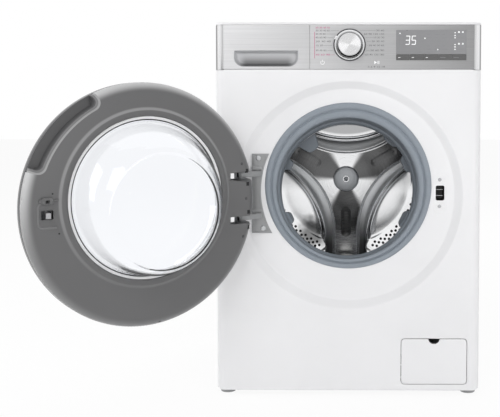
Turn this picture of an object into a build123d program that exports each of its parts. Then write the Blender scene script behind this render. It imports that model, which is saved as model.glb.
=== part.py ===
from build123d import *

import math
import os

os.makedirs("parts", exist_ok=True)

# Front-loading washer dryer, door open.
# Millimetres, +Z up, +X to the right of someone facing the machine, -Y towards them.
# The origin is on the floor, in the middle of the four feet.
# "Depth" is the distance behind the front face; "out" is the distance from the door's inner face
# towards its outer face; "lift" is the height above the drum's axis.

# Cabinet
cabinet_width = 600.0
cabinet_height = 850.0
cabinet_depth = 565.0
base_height = 13.0
sheet = 1.5
edge_round = 21.0
bottom_corner = 12.0
front_return = 22.0
seam = 0.5
half_width = cabinet_width / 2
inner_half = half_width - sheet
front_y = -cabinet_depth / 2

# Top lid
lid_lip = 5.0
lid_board = 12.0
lid_edge = 2.0
lid_base = cabinet_height - lid_board

# Control band
band_height = 99.0
band_gap = 0.4
band_top = cabinet_height - lid_lip - band_gap
band_bottom = band_top - band_height
panel_top = band_bottom - band_gap
band_depth = 20.0
band_wall = 3.0
end_cap_width = 18.0
end_cap_drop = 1.5
drawer_width = 195.0
drawer_gap = 0.3
drawer_left = -half_width + end_cap_width
drawer_right = drawer_left + drawer_width
fascia_left = drawer_right + seam
fascia_right = half_width - end_cap_width

# Drawer
pocket_width = 144.0
pocket_height = 35.0
pocket_depth = 17.0
pocket_inset = 97.0
pocket_rise = 24.2
pocket_large_round = 15.0
pocket_small_round = 3.0
pocket_wall = 2.5
tray_width = 160.0
tray_length = 236.0
tray_height = 58.0
tray_rise = 20.4
tray_wall = 2.5
tray_gap = 0.4
tray_cell_count = 3
pocket_taper_angle = 20.0
housing_wall = 3.0
fill_inset = 10.0
fill_depth = 240.0
fill_neck = 14.0
fill_bore = 11.0
fill_drop = 10.2
housing_back = 270.0

# Dial, display
dial_inset = 88.9
dial_rise = 54.4
dial_ring_outer = 36.5
dial_ring_inner = 28.5
dial_ring_proud = 3.0
dial_ring_round = 0.5
dial_ring_chamfer = 1.0
dial_ring_slope = 1.5
dial_radius = 27.5
dial_nose = 25.0
dial_length = 26.0
dial_rim = 3.0
dial_rim_round = 1.0
dial_rim_land = 3.5
dial_gap = 0.6
dial_shaft = 4.0
shaft_clearance = 0.06
display_width = 157.4
display_inset = 17.6
display_rise = 19.8
display_height = 67.6
display_thick = 2.0
key_strip_height = 13.2
key_strip_step = 0.4
board_inset = 12.0
board_back = 52.0
board_drop = 12.6

# Frame bars
side_flange = 20.0
bar_thick = 11.0
front_bar_back = 56.0
rear_bar_width = 53.5
rear_bar_height = 23.0
bracket_reach = 14.0

# Back of the cabinet
rear_inset = 10.0
cover_radius = 175.0
cover_opening = 162.0
cover_dish = 12.0
cover_proud = 9.0
cover_screw_ring = 168.5
cover_screw_count = 6
cover_screw_start_angle = 30.0
transit_x = 440.0
transit_height = 120.0
transit_hole = 9.0
transit_boss = 15.0
transit_boss_length = 24.0
transit_thread = 5.0
inlet_side = 65.0
inlet_drop = 60.0
valve_neck = 15.0
valve_body = 40.0
valve_back = 6.0
spigot_radius = 13.2
spigot_bore = 8.0
spigot_length = 14.0
drain_side = 65.0
drain_drop = 90.0
drain_neck = 14.0
drain_body = 25.0
drain_spigot = 10.5
drain_bore = 8.0
drain_length = 22.0
gland_side = 65.0
gland_z = 130.0
gland_neck = 8.0
gland_bore = 4.2
gland_length = 12.0
gland_flange = 4.0
gland_rim = 2.0
flange_rim = 3.0
power_width = 150.0
power_side = 20.0
power_length = 180.0
power_inset = 33.5
power_top = 150.0
power_round = 4.0

# Door recess and mouth in the front panel
axis_z = 460.0
recess_outer = 257.5
recess_inner = 242.0
recess_depth = 14.0
mouth_z = 481.0
mouth_radius = 187.0
collar_depth = 10.0

# Service hatch
hatch_x = 195.6
hatch_z = 80.2
hatch_width = 149.0
hatch_height = 104.0
hatch_gap = 1.0
hatch_thick = 2.5
hatch_corner = 8.0
hatch_pivot_rise = 14.0
hatch_pivot_depth = 6.5
hatch_pin = 2.0
hatch_pin_length = 8.0
hatch_ear = 6.0
hatch_lug_rim = 1.0
notch_width = 25.0
notch_height = 11.0

# Feet
foot_side = 22.0
foot_inset = 40.0
foot_pad = 17.0
foot_pad_height = 7.0
foot_stem = 5.0
foot_reach = 30.0
foot_nut = 9.0
foot_gap = 1.0

# Base tray
base_rail = 40.0
base_rail_height = 40.0
base_gap = 2.0
base_front = front_return + base_gap
base_top = base_height + base_rail_height

# Tub
sump_height = 40.0
fill_rise = 268.0
heater_half = 12.0
heater_rise = 12.0
heater_rod = 3.0
heater_flange = 26.0
heater_plate = 6.0
heater_terminal = 15.0
heater_back = 270.0
weight_inner = 190.0
weight_outer = 270.0
weight_half_angle = 50.0
weight_thick = 30.0
hose_rib = 4.0
hose_folds = 6
bellows_folds = 3
tub_outer = 280.0
tub_wall = 6.0
tub_front_depth = 90.0
tub_split = 290.0
tub_back_step = 8.0
tub_flange = 5.0
collar_reach = 24.0
collar_inner = 158.0

# Drum
drum_outer = 262.0
drum_wall = 1.2
drum_front = 98.0
drum_mouth = 160.0
spider_length = 20.0
drum_inner = drum_outer - drum_wall

# Drum back wall: the band of each of its three hollows lies between two arcs
hollow_rim_radius = 218.0
hollow_rim_offset = 64.5
hollow_floor_radius = 245.0
hollow_floor_offset = 108.0
hollow_limit = 190.0
hollow_step = 5.0
star_sheet = 4.0
arm_count = 3
arm_start_angle = 270.0
hollow_start_angle = 90.0
dimple_inner = 80.0
dimple_outer = 156.0
dimple_width = 22.0
dimple_depth = 1.5
drum_lip = 8.0
lifter_front = 110.0
lifter_gap = 7.0
lifter_base = 84.0
lifter_top = 34.0
lifter_radius = 200.0
lifter_round = 12.0
lifter_toe = 10.0
lifter_slope = 26.0
lifter_limit = 192.0
spider_hub = 40.0
spider_gap = 16.0
spider_reach = 255.0
spider_arm = 38.0
hub_cap_radius = 34.0
hub_cap_height = 6.0
hub_cap_edge = 2.0
hub_screw = 9.0

# Shaft and motor
shaft_front = 15.0
shaft_rear = 12.5
bearing_front_outer = 31.0
bearing_rear_outer = 26.0
bearing_width = 16.0
bearing_front_step = 4.0
bearing_rear_step = 18.0
motor_room = 85.5
hub_radius = 45.0
hub_bore = 22.0
hub_nose = 13.0
shaft_front_reach = 10.0
shaft_reach = 52.0
hub_reach = 34.0
stator_inner = 52.0
stator_core = 90.0
stator_outer = 118.0
stator_length = 32.0
stator_teeth = 24
tooth_width = 9.0
tooth_tip = 5.0
tooth_inset = 3.0
tooth_root = 1.0
rotor_step = 6.0
rotor_boss = 26.0
rotor_inner = 122.0
rotor_outer = 130.0
rotor_reach = 36.0
rotor_thick = 4.0
bearing_clearance = 0.05

# Floating suspension
damper_x = 150.0
damper_depth = 230.0
damper_radius = 14.0
damper_bore = 9.0
piston_gap = 0.3
piston_low = 95.0
piston_length = 20.0
damper_top = 150.0
damper_cap = 4.0
damper_rod = 5.0
spring_lug_root = 44.0
spring_lug_tip = 18.0
spring_lug_thick = 12.0
lug_drop = 255.0
spring_inset = 32.0
spring_depth = 320.0
spring_lug_rise = 146.0
spring_drop = 48.0
spring_radius = 11.0
spring_wire = 3.0

# Drying circuit on the tub
fan_x = 120.0
fan_radius = 78.0
fan_rise = 2.0
fan_height = 54.0
fan_wall = 3.0
fan_motor_radius = 32.0
fan_motor_height = 24.0
fan_pad = 50.0
fan_shaft = 4.0
impeller_radius = 60.0
impeller_rise = 10.0
impeller_height = 33.0
impeller_disc = 3.0
impeller_hub = 12.0
impeller_eye = 30.0
impeller_vanes = 16
vane_lean_angle = 25.0
duct_left = 50.0
duct_right = 125.0
duct_round = 12.0
heater_duct_front = 62.0
heater_duct_drop = 110.0
condenser_left = 145.0
condenser_right = 205.0
condenser_length = 37.0
condenser_drop = 130.0
condenser_rise = 60.0
inlet_box_right = 195.0

# Door seal
lip_front = 5.0
lip_groove = 12.0
lip_depth = 24.0
lip_nose = 179.0
lip_outer = 186.7
lip_inner = 171.0
cone_depth = 56.0
skirt_inner = 152.0
skirt_outer = 157.5
skirt_back = 97.0
boss_front = 92.0
boss_back = 104.0
boss_round = 6.0
seal_bosses = [
    (128.4, 40.0, 125.0), (155.8, 26.0, 143.0), (25.0, 44.0, 143.0), (-26.2, 45.0, 140.0),
    (204.7, 31.0, 143.0),
]

# Drain pump
pump_x = 195.0
pump_z = 86.0
pump_outer = 31.0
pump_inner = 27.0
pump_front = 30.0
pump_chamber = 128.0
pump_back = 146.0
sump_x = 60.0
sump_depth = 118.0
sump_radius = 22.0
sump_drop = 15.0
inlet_top = 118.0
elbow_radius = 17.0
pump_motor = 28.0
pump_motor_back = 205.0
pump_shaft = 3.0
pump_gap = 1.0
pump_foot_inset = 8.0
pump_vanes = 6
vane_reach = 22.0
vane_length = 10.0
vane_thick = 2.0
filter_front = 14.0
filter_plug = 52.0
filter_back = 118.0
filter_cage = 22.0
filter_wall = 3.0
filter_floor = 1.0
filter_gap = 0.3
filter_grip = 4.0

# Door
door_open_angle = 146.0
door_face_depth = 6.0
door_radius = 254.0
door_round = 22.0
door_ring_edge = 28.0
door_wall = 3.0
door_thick = 56.0
glass_lift = 16.0
ring_opening = 168.5
step_radius = 186.0
step_depth = 5.0
window_radius = 214.0
window_gap = 0.3
hinge_x = -238.0
hinge_depth = -31.0
hinge_mid = 462.0
arm_pitch = 96.0
arm_half = 6.0
arm_gap = 2.0
arm_root_radius = 7.0
bracket_spread = 33.0
hinge_pin = 3.4
hinge_eye = 7.0
pin_clearance = 0.06
bracket_left = -218.7
bracket_low = 373.0
bracket_high = 554.4
bracket_arc = 198.5
bracket_arc_z = 470.0
bracket_thick = 3.0
arm_root_x = -203.0
latch_x = 208.9
latch_lift = -5.0
slot_width = 19.5
slot_height = 34.0
slot_z = 464.9
latch_height = 11.0
latch_shank = 5.0
latch_barb = 4.6
latch_reach = 17.0
latch_barb_out = -12.0
latch_pin = 2.0
latch_pivot_out = 10.0
window_half = 12.0
window_height = 18.0
guide_low = 14.0
guide_high = 30.0
guide_proud = 4.0
ridge_proud = 1.5
ridge_reach = 17.0
ridge_low = -30.0
ridge_high = 18.0
slot_inner = 190.0
slot_out = 49.0
grip_depth = 26.0
grip_radius = 226.0
grip_start_angle = 109.0
grip_end_angle = 163.0
grip_end_wall = 0.8
shell_chamfer = 10.0
shell_bevel = 8.0
shell_inner = 205.0
shell_floor = 47.0
shell_floor_radius = 243.0
shell_side = 40.0
window_seat = 50.0
window_thick = 4.0
window_bulge = 6.0
glass_wall = 4.0
bowl_gap = 2.0
bowl_flange = 180.0
bowl_stations = [(-16.0, 158.0, 14.0), (-50.0, 146.0, 8.0), (-84.0, 121.0, 1.0), (-97.0, 95.0, -1.0)]
hinge_plate_u = 218.0
hinge_plate_thick = 2.4
ear_thick = 4.0

# Door lock
lock_height = 84.0
lock_back = 56.0
lock_right = 231.0

# Screws
screw_length = 12.0
screw_shank = 2.0
screw_hole = 2.2
screw_head = 6.0
lock_screw_head = 4.0
head_height = 2.2
hinge_screw_inset = 14.5
hinge_screw_high = 9.9
hinge_screw_shift = 10.4
hinge_screw_low = 11.3
lock_screw_x = 207.8
lock_screw_pitch = 60.8
lock_screw_places = [(lock_screw_x, slot_z + side * lock_screw_pitch / 2) for side in (-1, 1)]

# Places worked out from the sizes above
rear_depth = cabinet_depth - rear_inset - sheet
foot_x = half_width - foot_side
pocket_x = drawer_left + pocket_inset
pocket_z = band_bottom + pocket_rise
tray_floor = band_bottom + tray_rise
dial_x = fascia_left + dial_inset
dial_z = band_bottom + dial_rise
display_right = fascia_right - display_inset
display_left = display_right - display_width
display_bottom = band_bottom + display_rise
display_top = display_bottom + display_height
board_right = fascia_right - board_inset
board_top = band_top - board_drop
rear_bar_front = rear_depth - rear_bar_width
rear_bar_low = lid_base - rear_bar_height
inlet_x = inlet_side - half_width
inlet_z = cabinet_height - inlet_drop
drain_x = half_width - drain_side
drain_z = cabinet_height - drain_drop
gland_x = half_width - gland_side
power_right = half_width - power_side
power_left = power_right - power_width
power_back = rear_depth - power_inset
power_front = power_back - power_length
transit_z = axis_z
tub_top = axis_z + tub_outer
tub_low = axis_z - tub_outer
tub_inner = tub_outer - tub_wall
collar_front = tub_front_depth - collar_reach
motor_seat = rear_depth - motor_room
tub_back = motor_seat - tub_back_step
hub_front = motor_seat - hub_nose
hub_back = motor_seat + hub_reach
bearing_front_seat = motor_seat + bearing_front_step
bearing_rear_seat = motor_seat + bearing_rear_step
shaft_step = motor_seat + shaft_front_reach
shaft_end = motor_seat + shaft_reach
stator_back = motor_seat + stator_length
rotor_front = motor_seat + rotor_step
rotor_plate = motor_seat + rotor_reach
spider_back = motor_seat - spider_gap
star_depth = spider_back - spider_length
pan_back = star_depth + 2 * hollow_step + star_sheet
lifter_back = star_depth - lifter_gap
heater_z = tub_low + heater_rise
sump_low = tub_low - sump_drop
lug_low = axis_z - lug_drop
spring_x = half_width - spring_inset
spring_low = axis_z + spring_lug_rise
spring_high = lid_base - spring_drop
fan_low = tub_top + fan_rise
fan_high = fan_low + fan_height
fan_motor_top = fan_high + fan_motor_height
impeller_low = fan_low + impeller_rise
impeller_high = impeller_low + impeller_height
heater_duct_low = fan_low - heater_duct_drop
condenser_low = axis_z - condenser_drop
condenser_high = tub_top + condenser_rise
condenser_back = motor_seat + condenser_length
cap_low = band_bottom - end_cap_drop
fan_depth = motor_seat - fan_radius
heater_duct_back = fan_depth - fan_radius
hinge_screw_places = [
    (bracket_left + hinge_screw_inset, bracket_high - hinge_screw_high),
    (bracket_left + hinge_screw_inset + hinge_screw_shift, bracket_low + hinge_screw_low),
]
hatch_low = hatch_z - hatch_height / 2
hatch_pivot_z = hatch_low + hatch_pivot_rise
cover_seat = rear_depth + sheet
cover_back = cover_seat + cover_proud
lid_top_base = cabinet_height - lid_lip
bar_low = panel_top
bar_top = panel_top + bar_thick
fill_high = bar_top - fill_drop
fill_low = axis_z + fill_rise
tray_left = pocket_x - tray_width / 2
tray_right = pocket_x + tray_width / 2
fill_x = tray_right - fill_inset
cell_pitch = (tray_width - tray_wall) / tray_cell_count
tray_cells = [
    (tray_left + tray_wall + cell_pitch * k, tray_left + cell_pitch * (k + 1)) for k in range(tray_cell_count)
]
housing_left = tray_left - tray_gap - housing_wall
housing_right = tray_right + tray_gap + housing_wall
housing_top = tray_floor + tray_height + tray_gap + housing_wall
hinge_u = -hinge_x
hinge_out = door_face_depth - hinge_depth
latch_u = -latch_x
hinge_plate_end = arm_half + window_gap + ear_thick
arm_lifts = [hinge_mid - axis_z + side * arm_pitch / 2 for side in (-1, 1)]
door_pivot = Vector(hinge_x, front_y + hinge_depth, axis_z)
door_closed = Vector(0, front_y + door_face_depth, axis_z)
door_centre = door_pivot + (door_closed - door_pivot).rotate(Axis.Z, -door_open_angle)
door_in = Vector(0, 1, 0).rotate(Axis.Z, -door_open_angle)
door_across = Vector(-1, 0, 0).rotate(Axis.Z, -door_open_angle)
cover_screw_angles = [
    math.radians(cover_screw_start_angle + 360.0 / cover_screw_count * k) for k in range(cover_screw_count)
]
cover_screw_places = [
    (cover_screw_ring * math.cos(angle), axis_z + cover_screw_ring * math.sin(angle))
    for angle in cover_screw_angles
]


def depth_plane(depth, x=0.0, z=0.0, turn=0.0):
    """Plane parallel to the front, seen from the front: sketch x is X, turned by an angle."""
    across = (math.cos(math.radians(turn)), 0, math.sin(math.radians(turn)))
    return Plane(origin=(x, front_y + depth, z), x_dir=across, z_dir=(0, -1, 0))


def level_plane(z):
    """Level plane seen from above: sketch x is X, sketch y is the depth."""
    return Plane(origin=(0, front_y, z), x_dir=(1, 0, 0), z_dir=(0, 0, 1))


def block(x_range, depth_range, z_range, mode=Mode.ADD):
    """Box between two corners given as ranges of X, depth and Z."""
    size = [high - low for low, high in (x_range, depth_range, z_range)]
    middle = [(low + high) / 2 for low, high in (x_range, depth_range, z_range)]
    with Locations((middle[0], front_y + middle[1], middle[2])):
        Box(*size, mode=mode)


def rod_back(x, z, radius, depth_range, mode=Mode.ADD):
    """Round bar along the depth."""
    low, high = depth_range
    with Locations((x, front_y + (low + high) / 2, z)):
        Cylinder(radius, high - low, rotation=(90, 0, 0), mode=mode)


def rod_up(x, depth, radius, z_range, mode=Mode.ADD):
    """Upright round bar."""
    low, high = z_range
    with Locations((x, front_y + depth, (low + high) / 2)):
        Cylinder(radius, high - low, mode=mode)


def turned(points, x=0.0, z=axis_z, mode=Mode.ADD):
    """Ring turned round a line along the depth, from (depth, radius) points."""
    section = Plane(origin=(x, front_y, z), x_dir=(0, 1, 0), z_dir=(1, 0, 0))
    with BuildSketch(section) as profile:
        with BuildLine():
            Polyline(*points, close=True)
        make_face()
    revolve(profile.sketch, axis=Axis((x, front_y, z), (0, 1, 0)), mode=mode)


def rounded_front(low, high, inset, mode=Mode.ADD):
    """Full-width band of the cabinet's front with rounded upright edges, drawn in by an inset."""
    width = half_width - inset
    front = inset
    radius = edge_round - inset
    with BuildSketch(level_plane(low)) as outline:
        with BuildLine():
            Polyline((-width, front + radius), (-width, front_return), (width, front_return),
                     (width, front + radius))
            RadiusArc((width, front + radius), (width - radius, front), radius)
            Line((width - radius, front), (radius - width, front))
            RadiusArc((radius - width, front), (-width, front + radius), radius)
        make_face()
    extrude(outline.sketch, amount=high - low, mode=mode)


def ring_sector(plane, radii, angles):
    """Face between two radii and two angles round the plane's origin."""
    start, end = angles
    with BuildSketch(plane) as sector:
        with BuildLine():
            inner_arc = CenterArc((0, 0), radii[0], start, end - start)
            outer_arc = CenterArc((0, 0), radii[1], start, end - start)
            Line(inner_arc @ 0, outer_arc @ 0)
            Line(inner_arc @ 1, outer_arc @ 1)
        make_face()
    return sector.sketch


def ribbed(x, depth, bore, neck, z_range, folds):
    """Upright ribbed hose with plain ends, from one height to another."""
    low, high = z_range
    pitch = (high - low) / (2 * folds + 2)
    ribs = [(neck + hose_rib * (k % 2), low + pitch * (k + 1)) for k in range(2 * folds + 1)]
    section = Plane(origin=(x, front_y + depth, 0), x_dir=(1, 0, 0), z_dir=(0, -1, 0))
    with BuildSketch(section) as profile:
        with BuildLine():
            Polyline((bore, low), (neck, low), *ribs, (neck, high), (bore, high), close=True)
        make_face()
    revolve(profile.sketch, axis=Axis((x, front_y + depth, 0), (0, 0, 1)))


def hollows(depth_range, radius, offset, limit, mode=Mode.ADD):
    """Three shapes round the hub, each where a circle about it meets a larger one beside it."""
    low, high = depth_range
    with BuildSketch(depth_plane(high, 0, axis_z)) as shapes:
        with PolarLocations(radius + offset, arm_count, start_angle=hollow_start_angle):
            Circle(radius)
        Circle(limit, mode=Mode.INTERSECT)
    extrude(shapes.sketch, amount=high - low, mode=mode)


def lofted(stations, mode=Mode.ADD):
    """Round body through (depth, radius, Z) stations."""
    sections = []
    for depth, radius, z in stations:
        with BuildSketch(depth_plane(depth, 0, z)) as station:
            Circle(radius)
        sections.append(station.sketch)
    loft(sections, mode=mode)


def door_plane(out, lift=0.0):
    """Plane of the open door seen from its outer face: sketch x is across, sketch y is the lift."""
    return Plane(origin=door_centre - door_in * out + Vector(0, 0, lift), x_dir=door_across, z_dir=door_in)


def door_section(lift):
    """Level plane through the open door: sketch x is across, sketch y is outwards."""
    return Plane(origin=door_centre + Vector(0, 0, lift), x_dir=door_across, z_dir=(0, 0, 1))


def door_turned(points, lift=0.0, mode=Mode.ADD):
    """Ring turned round the door's axis, from (radius, out) points."""
    with BuildSketch(door_section(lift)) as profile:
        with BuildLine():
            Polyline(*points, close=True)
        make_face()
    revolve(profile.sketch, axis=Axis(door_centre + Vector(0, 0, lift), -door_in), mode=mode)


def door_block(across_range, out_range, lift_range, mode=Mode.ADD):
    """Box in the open door between two corners."""
    low, high = lift_range
    with BuildSketch(door_section(low)) as outline:
        with Locations((sum(across_range) / 2, sum(out_range) / 2)):
            Rectangle(across_range[1] - across_range[0], out_range[1] - out_range[0])
    extrude(outline.sketch, amount=high - low, mode=mode)


def door_rod_up(across, out, radius, lift_range, mode=Mode.ADD):
    """Upright round bar in the open door."""
    low, high = lift_range
    with BuildSketch(door_section(low)) as outline:
        with Locations((across, out)):
            Circle(radius)
    extrude(outline.sketch, amount=high - low, mode=mode)


def door_lofted(stations, mode=Mode.ADD):
    """Round body through (out, radius, lift) stations of the open door."""
    sections = []
    for out, radius, lift in stations:
        with BuildSketch(door_plane(out, lift)) as station:
            Circle(radius)
        sections.append(station.sketch)
    loft(sections, mode=mode)


# Cabinet shell
with BuildPart() as front_panel:
    rounded_front(base_height, panel_top, 0.0)
    rounded_front(base_height + sheet, panel_top - sheet, sheet, mode=Mode.SUBTRACT)
    with BuildSketch(depth_plane(front_return, 0, (base_height + cabinet_height) / 2)) as front_outline:
        outline_face = Rectangle(cabinet_width, cabinet_height - base_height)
        fillet(outline_face.vertices().sort_by(Axis.Y)[:2], radius=bottom_corner)
    extrude(front_outline.sketch, amount=front_return, mode=Mode.INTERSECT)
    rod_back(0, axis_z, recess_outer, (0, sheet), mode=Mode.SUBTRACT)
    turned([(0, recess_outer), (recess_depth, recess_inner), (recess_depth, mouth_radius / 2),
            (recess_depth + sheet, mouth_radius / 2), (recess_depth + sheet, recess_inner + sheet),
            (sheet, recess_outer + sheet), (0, recess_outer + sheet)])
    rod_back(0, mouth_z, mouth_radius + sheet, (recess_depth, recess_depth + collar_depth))
    rod_back(0, mouth_z, mouth_radius, (0, recess_depth + collar_depth), mode=Mode.SUBTRACT)
    block((latch_x - slot_width / 2, latch_x + slot_width / 2), (0, front_return),
          (slot_z - slot_height / 2, slot_z + slot_height / 2), mode=Mode.SUBTRACT)
    block((hatch_x - hatch_width / 2 - hatch_gap, hatch_x + hatch_width / 2 + hatch_gap), (0, sheet),
          (hatch_z - hatch_height / 2 - hatch_gap, hatch_z + hatch_height / 2 + hatch_gap),
          mode=Mode.SUBTRACT)
    for screw_x, screw_z in hinge_screw_places + lock_screw_places:
        rod_back(screw_x, screw_z, screw_hole, (0, recess_depth + sheet), mode=Mode.SUBTRACT)
    for side in (-1, 1):
        block(sorted((side * (fascia_right - seam), side * half_width)), (0, front_return),
              (cap_low - band_gap, panel_top), mode=Mode.SUBTRACT)
    for side in (-1, 1):
        hatch_edge = hatch_x + side * (hatch_width / 2 + hatch_gap)
        lug_range = sorted((hatch_edge, hatch_edge + side * hatch_pin_length))
        block(lug_range, (sheet, hatch_pivot_depth + hatch_ear / 2),
              (hatch_pivot_z - hatch_ear / 2 - hatch_lug_rim, hatch_pivot_z + hatch_ear / 2 + hatch_lug_rim))
        with Locations((sum(lug_range) / 2, front_y + hatch_pivot_depth, hatch_pivot_z)):
            Cylinder(hatch_pin + pin_clearance, hatch_pin_length, rotation=(0, 90, 0), mode=Mode.SUBTRACT)
front_panel.part.label = "front_panel"
export_step(front_panel.part, "parts/front_panel.step")

for side, side_name in ((-1, "side_panel_left"), (1, "side_panel_right")):
    with BuildPart() as side_panel:
        block(sorted((side * inner_half, side * half_width)), (front_return + seam, cabinet_depth),
              (base_height, lid_base))
        for flange_depth in (front_return + seam, cabinet_depth - sheet):
            block(sorted((side * (half_width - side_flange), side * inner_half)),
                  (flange_depth, flange_depth + sheet), (base_height, lid_base))
    side_panel.part.label = side_name
    export_step(side_panel.part, f"parts/{side_name}.step")

with BuildPart() as rear_panel:
    block((-inner_half, inner_half), (rear_depth, rear_depth + sheet), (base_height, lid_base))
    rod_back(0, axis_z, cover_opening, (rear_depth, rear_depth + sheet), mode=Mode.SUBTRACT)
    with BuildSketch(depth_plane(rear_depth + sheet, 0, transit_z)) as transit_holes:
        with GridLocations(transit_x, transit_height, 2, 2):
            Circle(transit_hole)
    extrude(transit_holes.sketch, amount=sheet, mode=Mode.SUBTRACT)
    for place_x, place_z, hole in (
        (inlet_x, inlet_z, valve_neck),
        (drain_x, drain_z, drain_neck),
        (gland_x, gland_z, gland_neck),
    ):
        rod_back(place_x, place_z, hole, (rear_depth, rear_depth + sheet), mode=Mode.SUBTRACT)
    for place_x, place_z in cover_screw_places:
        rod_back(place_x, place_z, screw_hole, (rear_depth, rear_depth + sheet), mode=Mode.SUBTRACT)
rear_panel.part.label = "rear_panel"
export_step(rear_panel.part, "parts/rear_panel.step")

with BuildPart() as rear_access_cover:
    turned([(cover_seat, 0), (cover_seat, cover_radius), (cover_seat + sheet, cover_radius),
            (cover_seat + sheet, cover_opening), (cover_back, cover_opening - cover_dish),
            (cover_back, 0)])
    turned([(cover_seat, 0), (cover_seat, cover_opening - sheet),
            (cover_back - sheet, cover_opening - cover_dish - sheet), (cover_back - sheet, 0)],
           mode=Mode.SUBTRACT)
    for place_x, place_z in cover_screw_places:
        rod_back(place_x, place_z, screw_hole, (cover_seat, cover_back), mode=Mode.SUBTRACT)
rear_access_cover.part.label = "rear_access_cover"
export_step(rear_access_cover.part, "parts/rear_access_cover.step")

with BuildPart() as top_lid:
    rounded_front(lid_top_base, cabinet_height, 0.0)
    block((-half_width, half_width), (front_return, cabinet_depth), (lid_top_base, cabinet_height))
    block((-half_width, half_width), (front_return, cabinet_depth), (lid_base, lid_top_base))
    chamfer(top_lid.edges().group_by(Axis.Z)[-1], length=lid_edge)
top_lid.part.label = "top_lid"
export_step(top_lid.part, "parts/top_lid.step")

with BuildPart() as base_frame:
    block((-inner_half, inner_half), (base_front, rear_depth), (base_height, base_top))
    block((base_rail - inner_half, inner_half - base_rail), (base_front + base_rail, rear_depth - base_rail),
          (base_height, base_top), mode=Mode.SUBTRACT)
    block((base_rail - inner_half, inner_half - base_rail),
          (damper_depth - base_rail / 2, damper_depth + base_rail / 2), (base_height, base_top))
    for stem_x in (-foot_x, foot_x):
        for stem_depth in (foot_inset, cabinet_depth - foot_inset):
            rod_up(stem_x, stem_depth, foot_stem + shaft_clearance, (base_height, base_height + foot_reach),
                   mode=Mode.SUBTRACT)
base_frame.part.label = "base_frame"
export_step(base_frame.part, "parts/base_frame.step")

with BuildPart() as upper_frame:
    block((-inner_half, inner_half), (front_return + 3 * seam + sheet, front_bar_back), (bar_low, bar_top))
    block((-inner_half, inner_half), (rear_bar_front, rear_depth), (rear_bar_low, lid_base))
    for side in (-1, 1):
        block(sorted((side * (spring_x - bracket_reach), side * inner_half)),
              (spring_depth - bracket_reach, spring_depth + bracket_reach), (spring_high, lid_base))
upper_frame.part.label = "upper_frame"
export_step(upper_frame.part, "parts/upper_frame.step")

# Control band
with BuildPart() as control_fascia:
    block((fascia_left, fascia_right), (0, band_depth), (band_bottom, band_top))
    block((fascia_left + band_wall, fascia_right - band_wall), (band_wall, band_depth),
          (band_bottom + band_wall, band_top - band_wall), mode=Mode.SUBTRACT)
    block((display_left, display_right), (0, display_thick), (display_bottom, display_top),
          mode=Mode.SUBTRACT)
    rod_back(dial_x, dial_z, dial_shaft * 2, (band_wall, band_depth))
    rod_back(dial_x, dial_z, dial_shaft + shaft_clearance, (0, band_depth), mode=Mode.SUBTRACT)
control_fascia.part.label = "control_fascia"
export_step(control_fascia.part, "parts/control_fascia.step")

with BuildPart() as fascia_end_caps:
    rounded_front(cap_low, band_top, 0.0)
    block((drawer_left, fascia_right), (0, front_return), (cap_low, band_top), mode=Mode.SUBTRACT)
fascia_end_caps.part.label = "fascia_end_caps"
export_step(fascia_end_caps.part, "parts/fascia_end_caps.step")

with BuildPart() as display_panel:
    block((display_left, display_right), (0, display_thick), (display_bottom + key_strip_height, display_top))
    block((display_left, display_right), (key_strip_step, display_thick),
          (display_bottom, display_bottom + key_strip_height))
display_panel.part.label = "display_panel"
export_step(display_panel.part, "parts/display_panel.step")

with BuildPart() as dial_ring:
    turned([(0, dial_ring_inner), (0, dial_ring_outer), (dial_ring_round - dial_ring_proud, dial_ring_outer),
            (-dial_ring_proud, dial_ring_outer - dial_ring_chamfer),
            (-dial_ring_proud, dial_ring_inner + dial_ring_slope), (-dial_ring_chamfer, dial_ring_inner)],
           x=dial_x, z=dial_z)
dial_ring.part.label = "dial_ring"
export_step(dial_ring.part, "parts/dial_ring.step")

with BuildPart() as dial_knob:
    turned([(-dial_gap, 0), (-dial_gap, dial_radius), (dial_rim - dial_length, dial_nose),
            (dial_rim_round - dial_length, dial_nose - dial_rim_round),
            (-dial_length, dial_nose - dial_rim_land), (-dial_length, 0)], x=dial_x, z=dial_z)
    rod_back(dial_x, dial_z, dial_shaft, (-2 * dial_gap, band_depth))
dial_knob.part.label = "dial_knob"
export_step(dial_knob.part, "parts/dial_knob.step")

with BuildPart() as control_board_box:
    block((fascia_left + band_wall, board_right), (band_depth + seam, board_back), (bar_top, board_top))
control_board_box.part.label = "control_board_box"
export_step(control_board_box.part, "parts/control_board_box.step")

# Detergent drawer and its housing
with BuildPart() as drawer_front:
    block((drawer_left + drawer_gap, drawer_right), (0, band_depth), (band_bottom, band_top))
    block((drawer_left + drawer_gap + band_wall, drawer_right - band_wall),
          (band_wall, band_depth - band_wall), (band_bottom + band_wall, band_top - band_wall),
          mode=Mode.SUBTRACT)
    block((pocket_x - pocket_width / 2 - pocket_wall, pocket_x + pocket_width / 2 + pocket_wall),
          (0, band_depth),
          (pocket_z - pocket_height / 2 - pocket_wall, pocket_z + pocket_height / 2 + pocket_wall))
    with BuildSketch(depth_plane(0, pocket_x, pocket_z)) as pocket_outline:
        pocket_face = Rectangle(pocket_width, pocket_height)
        fillet(pocket_face.vertices().sort_by(Axis.Y)[:2], radius=pocket_large_round)
        fillet(pocket_outline.vertices().sort_by(Axis.Y)[-2:], radius=pocket_small_round)
    extrude(pocket_outline.sketch, amount=-pocket_depth, taper=pocket_taper_angle, mode=Mode.SUBTRACT)
drawer_front.part.label = "drawer_front"
export_step(drawer_front.part, "parts/drawer_front.step")

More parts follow.
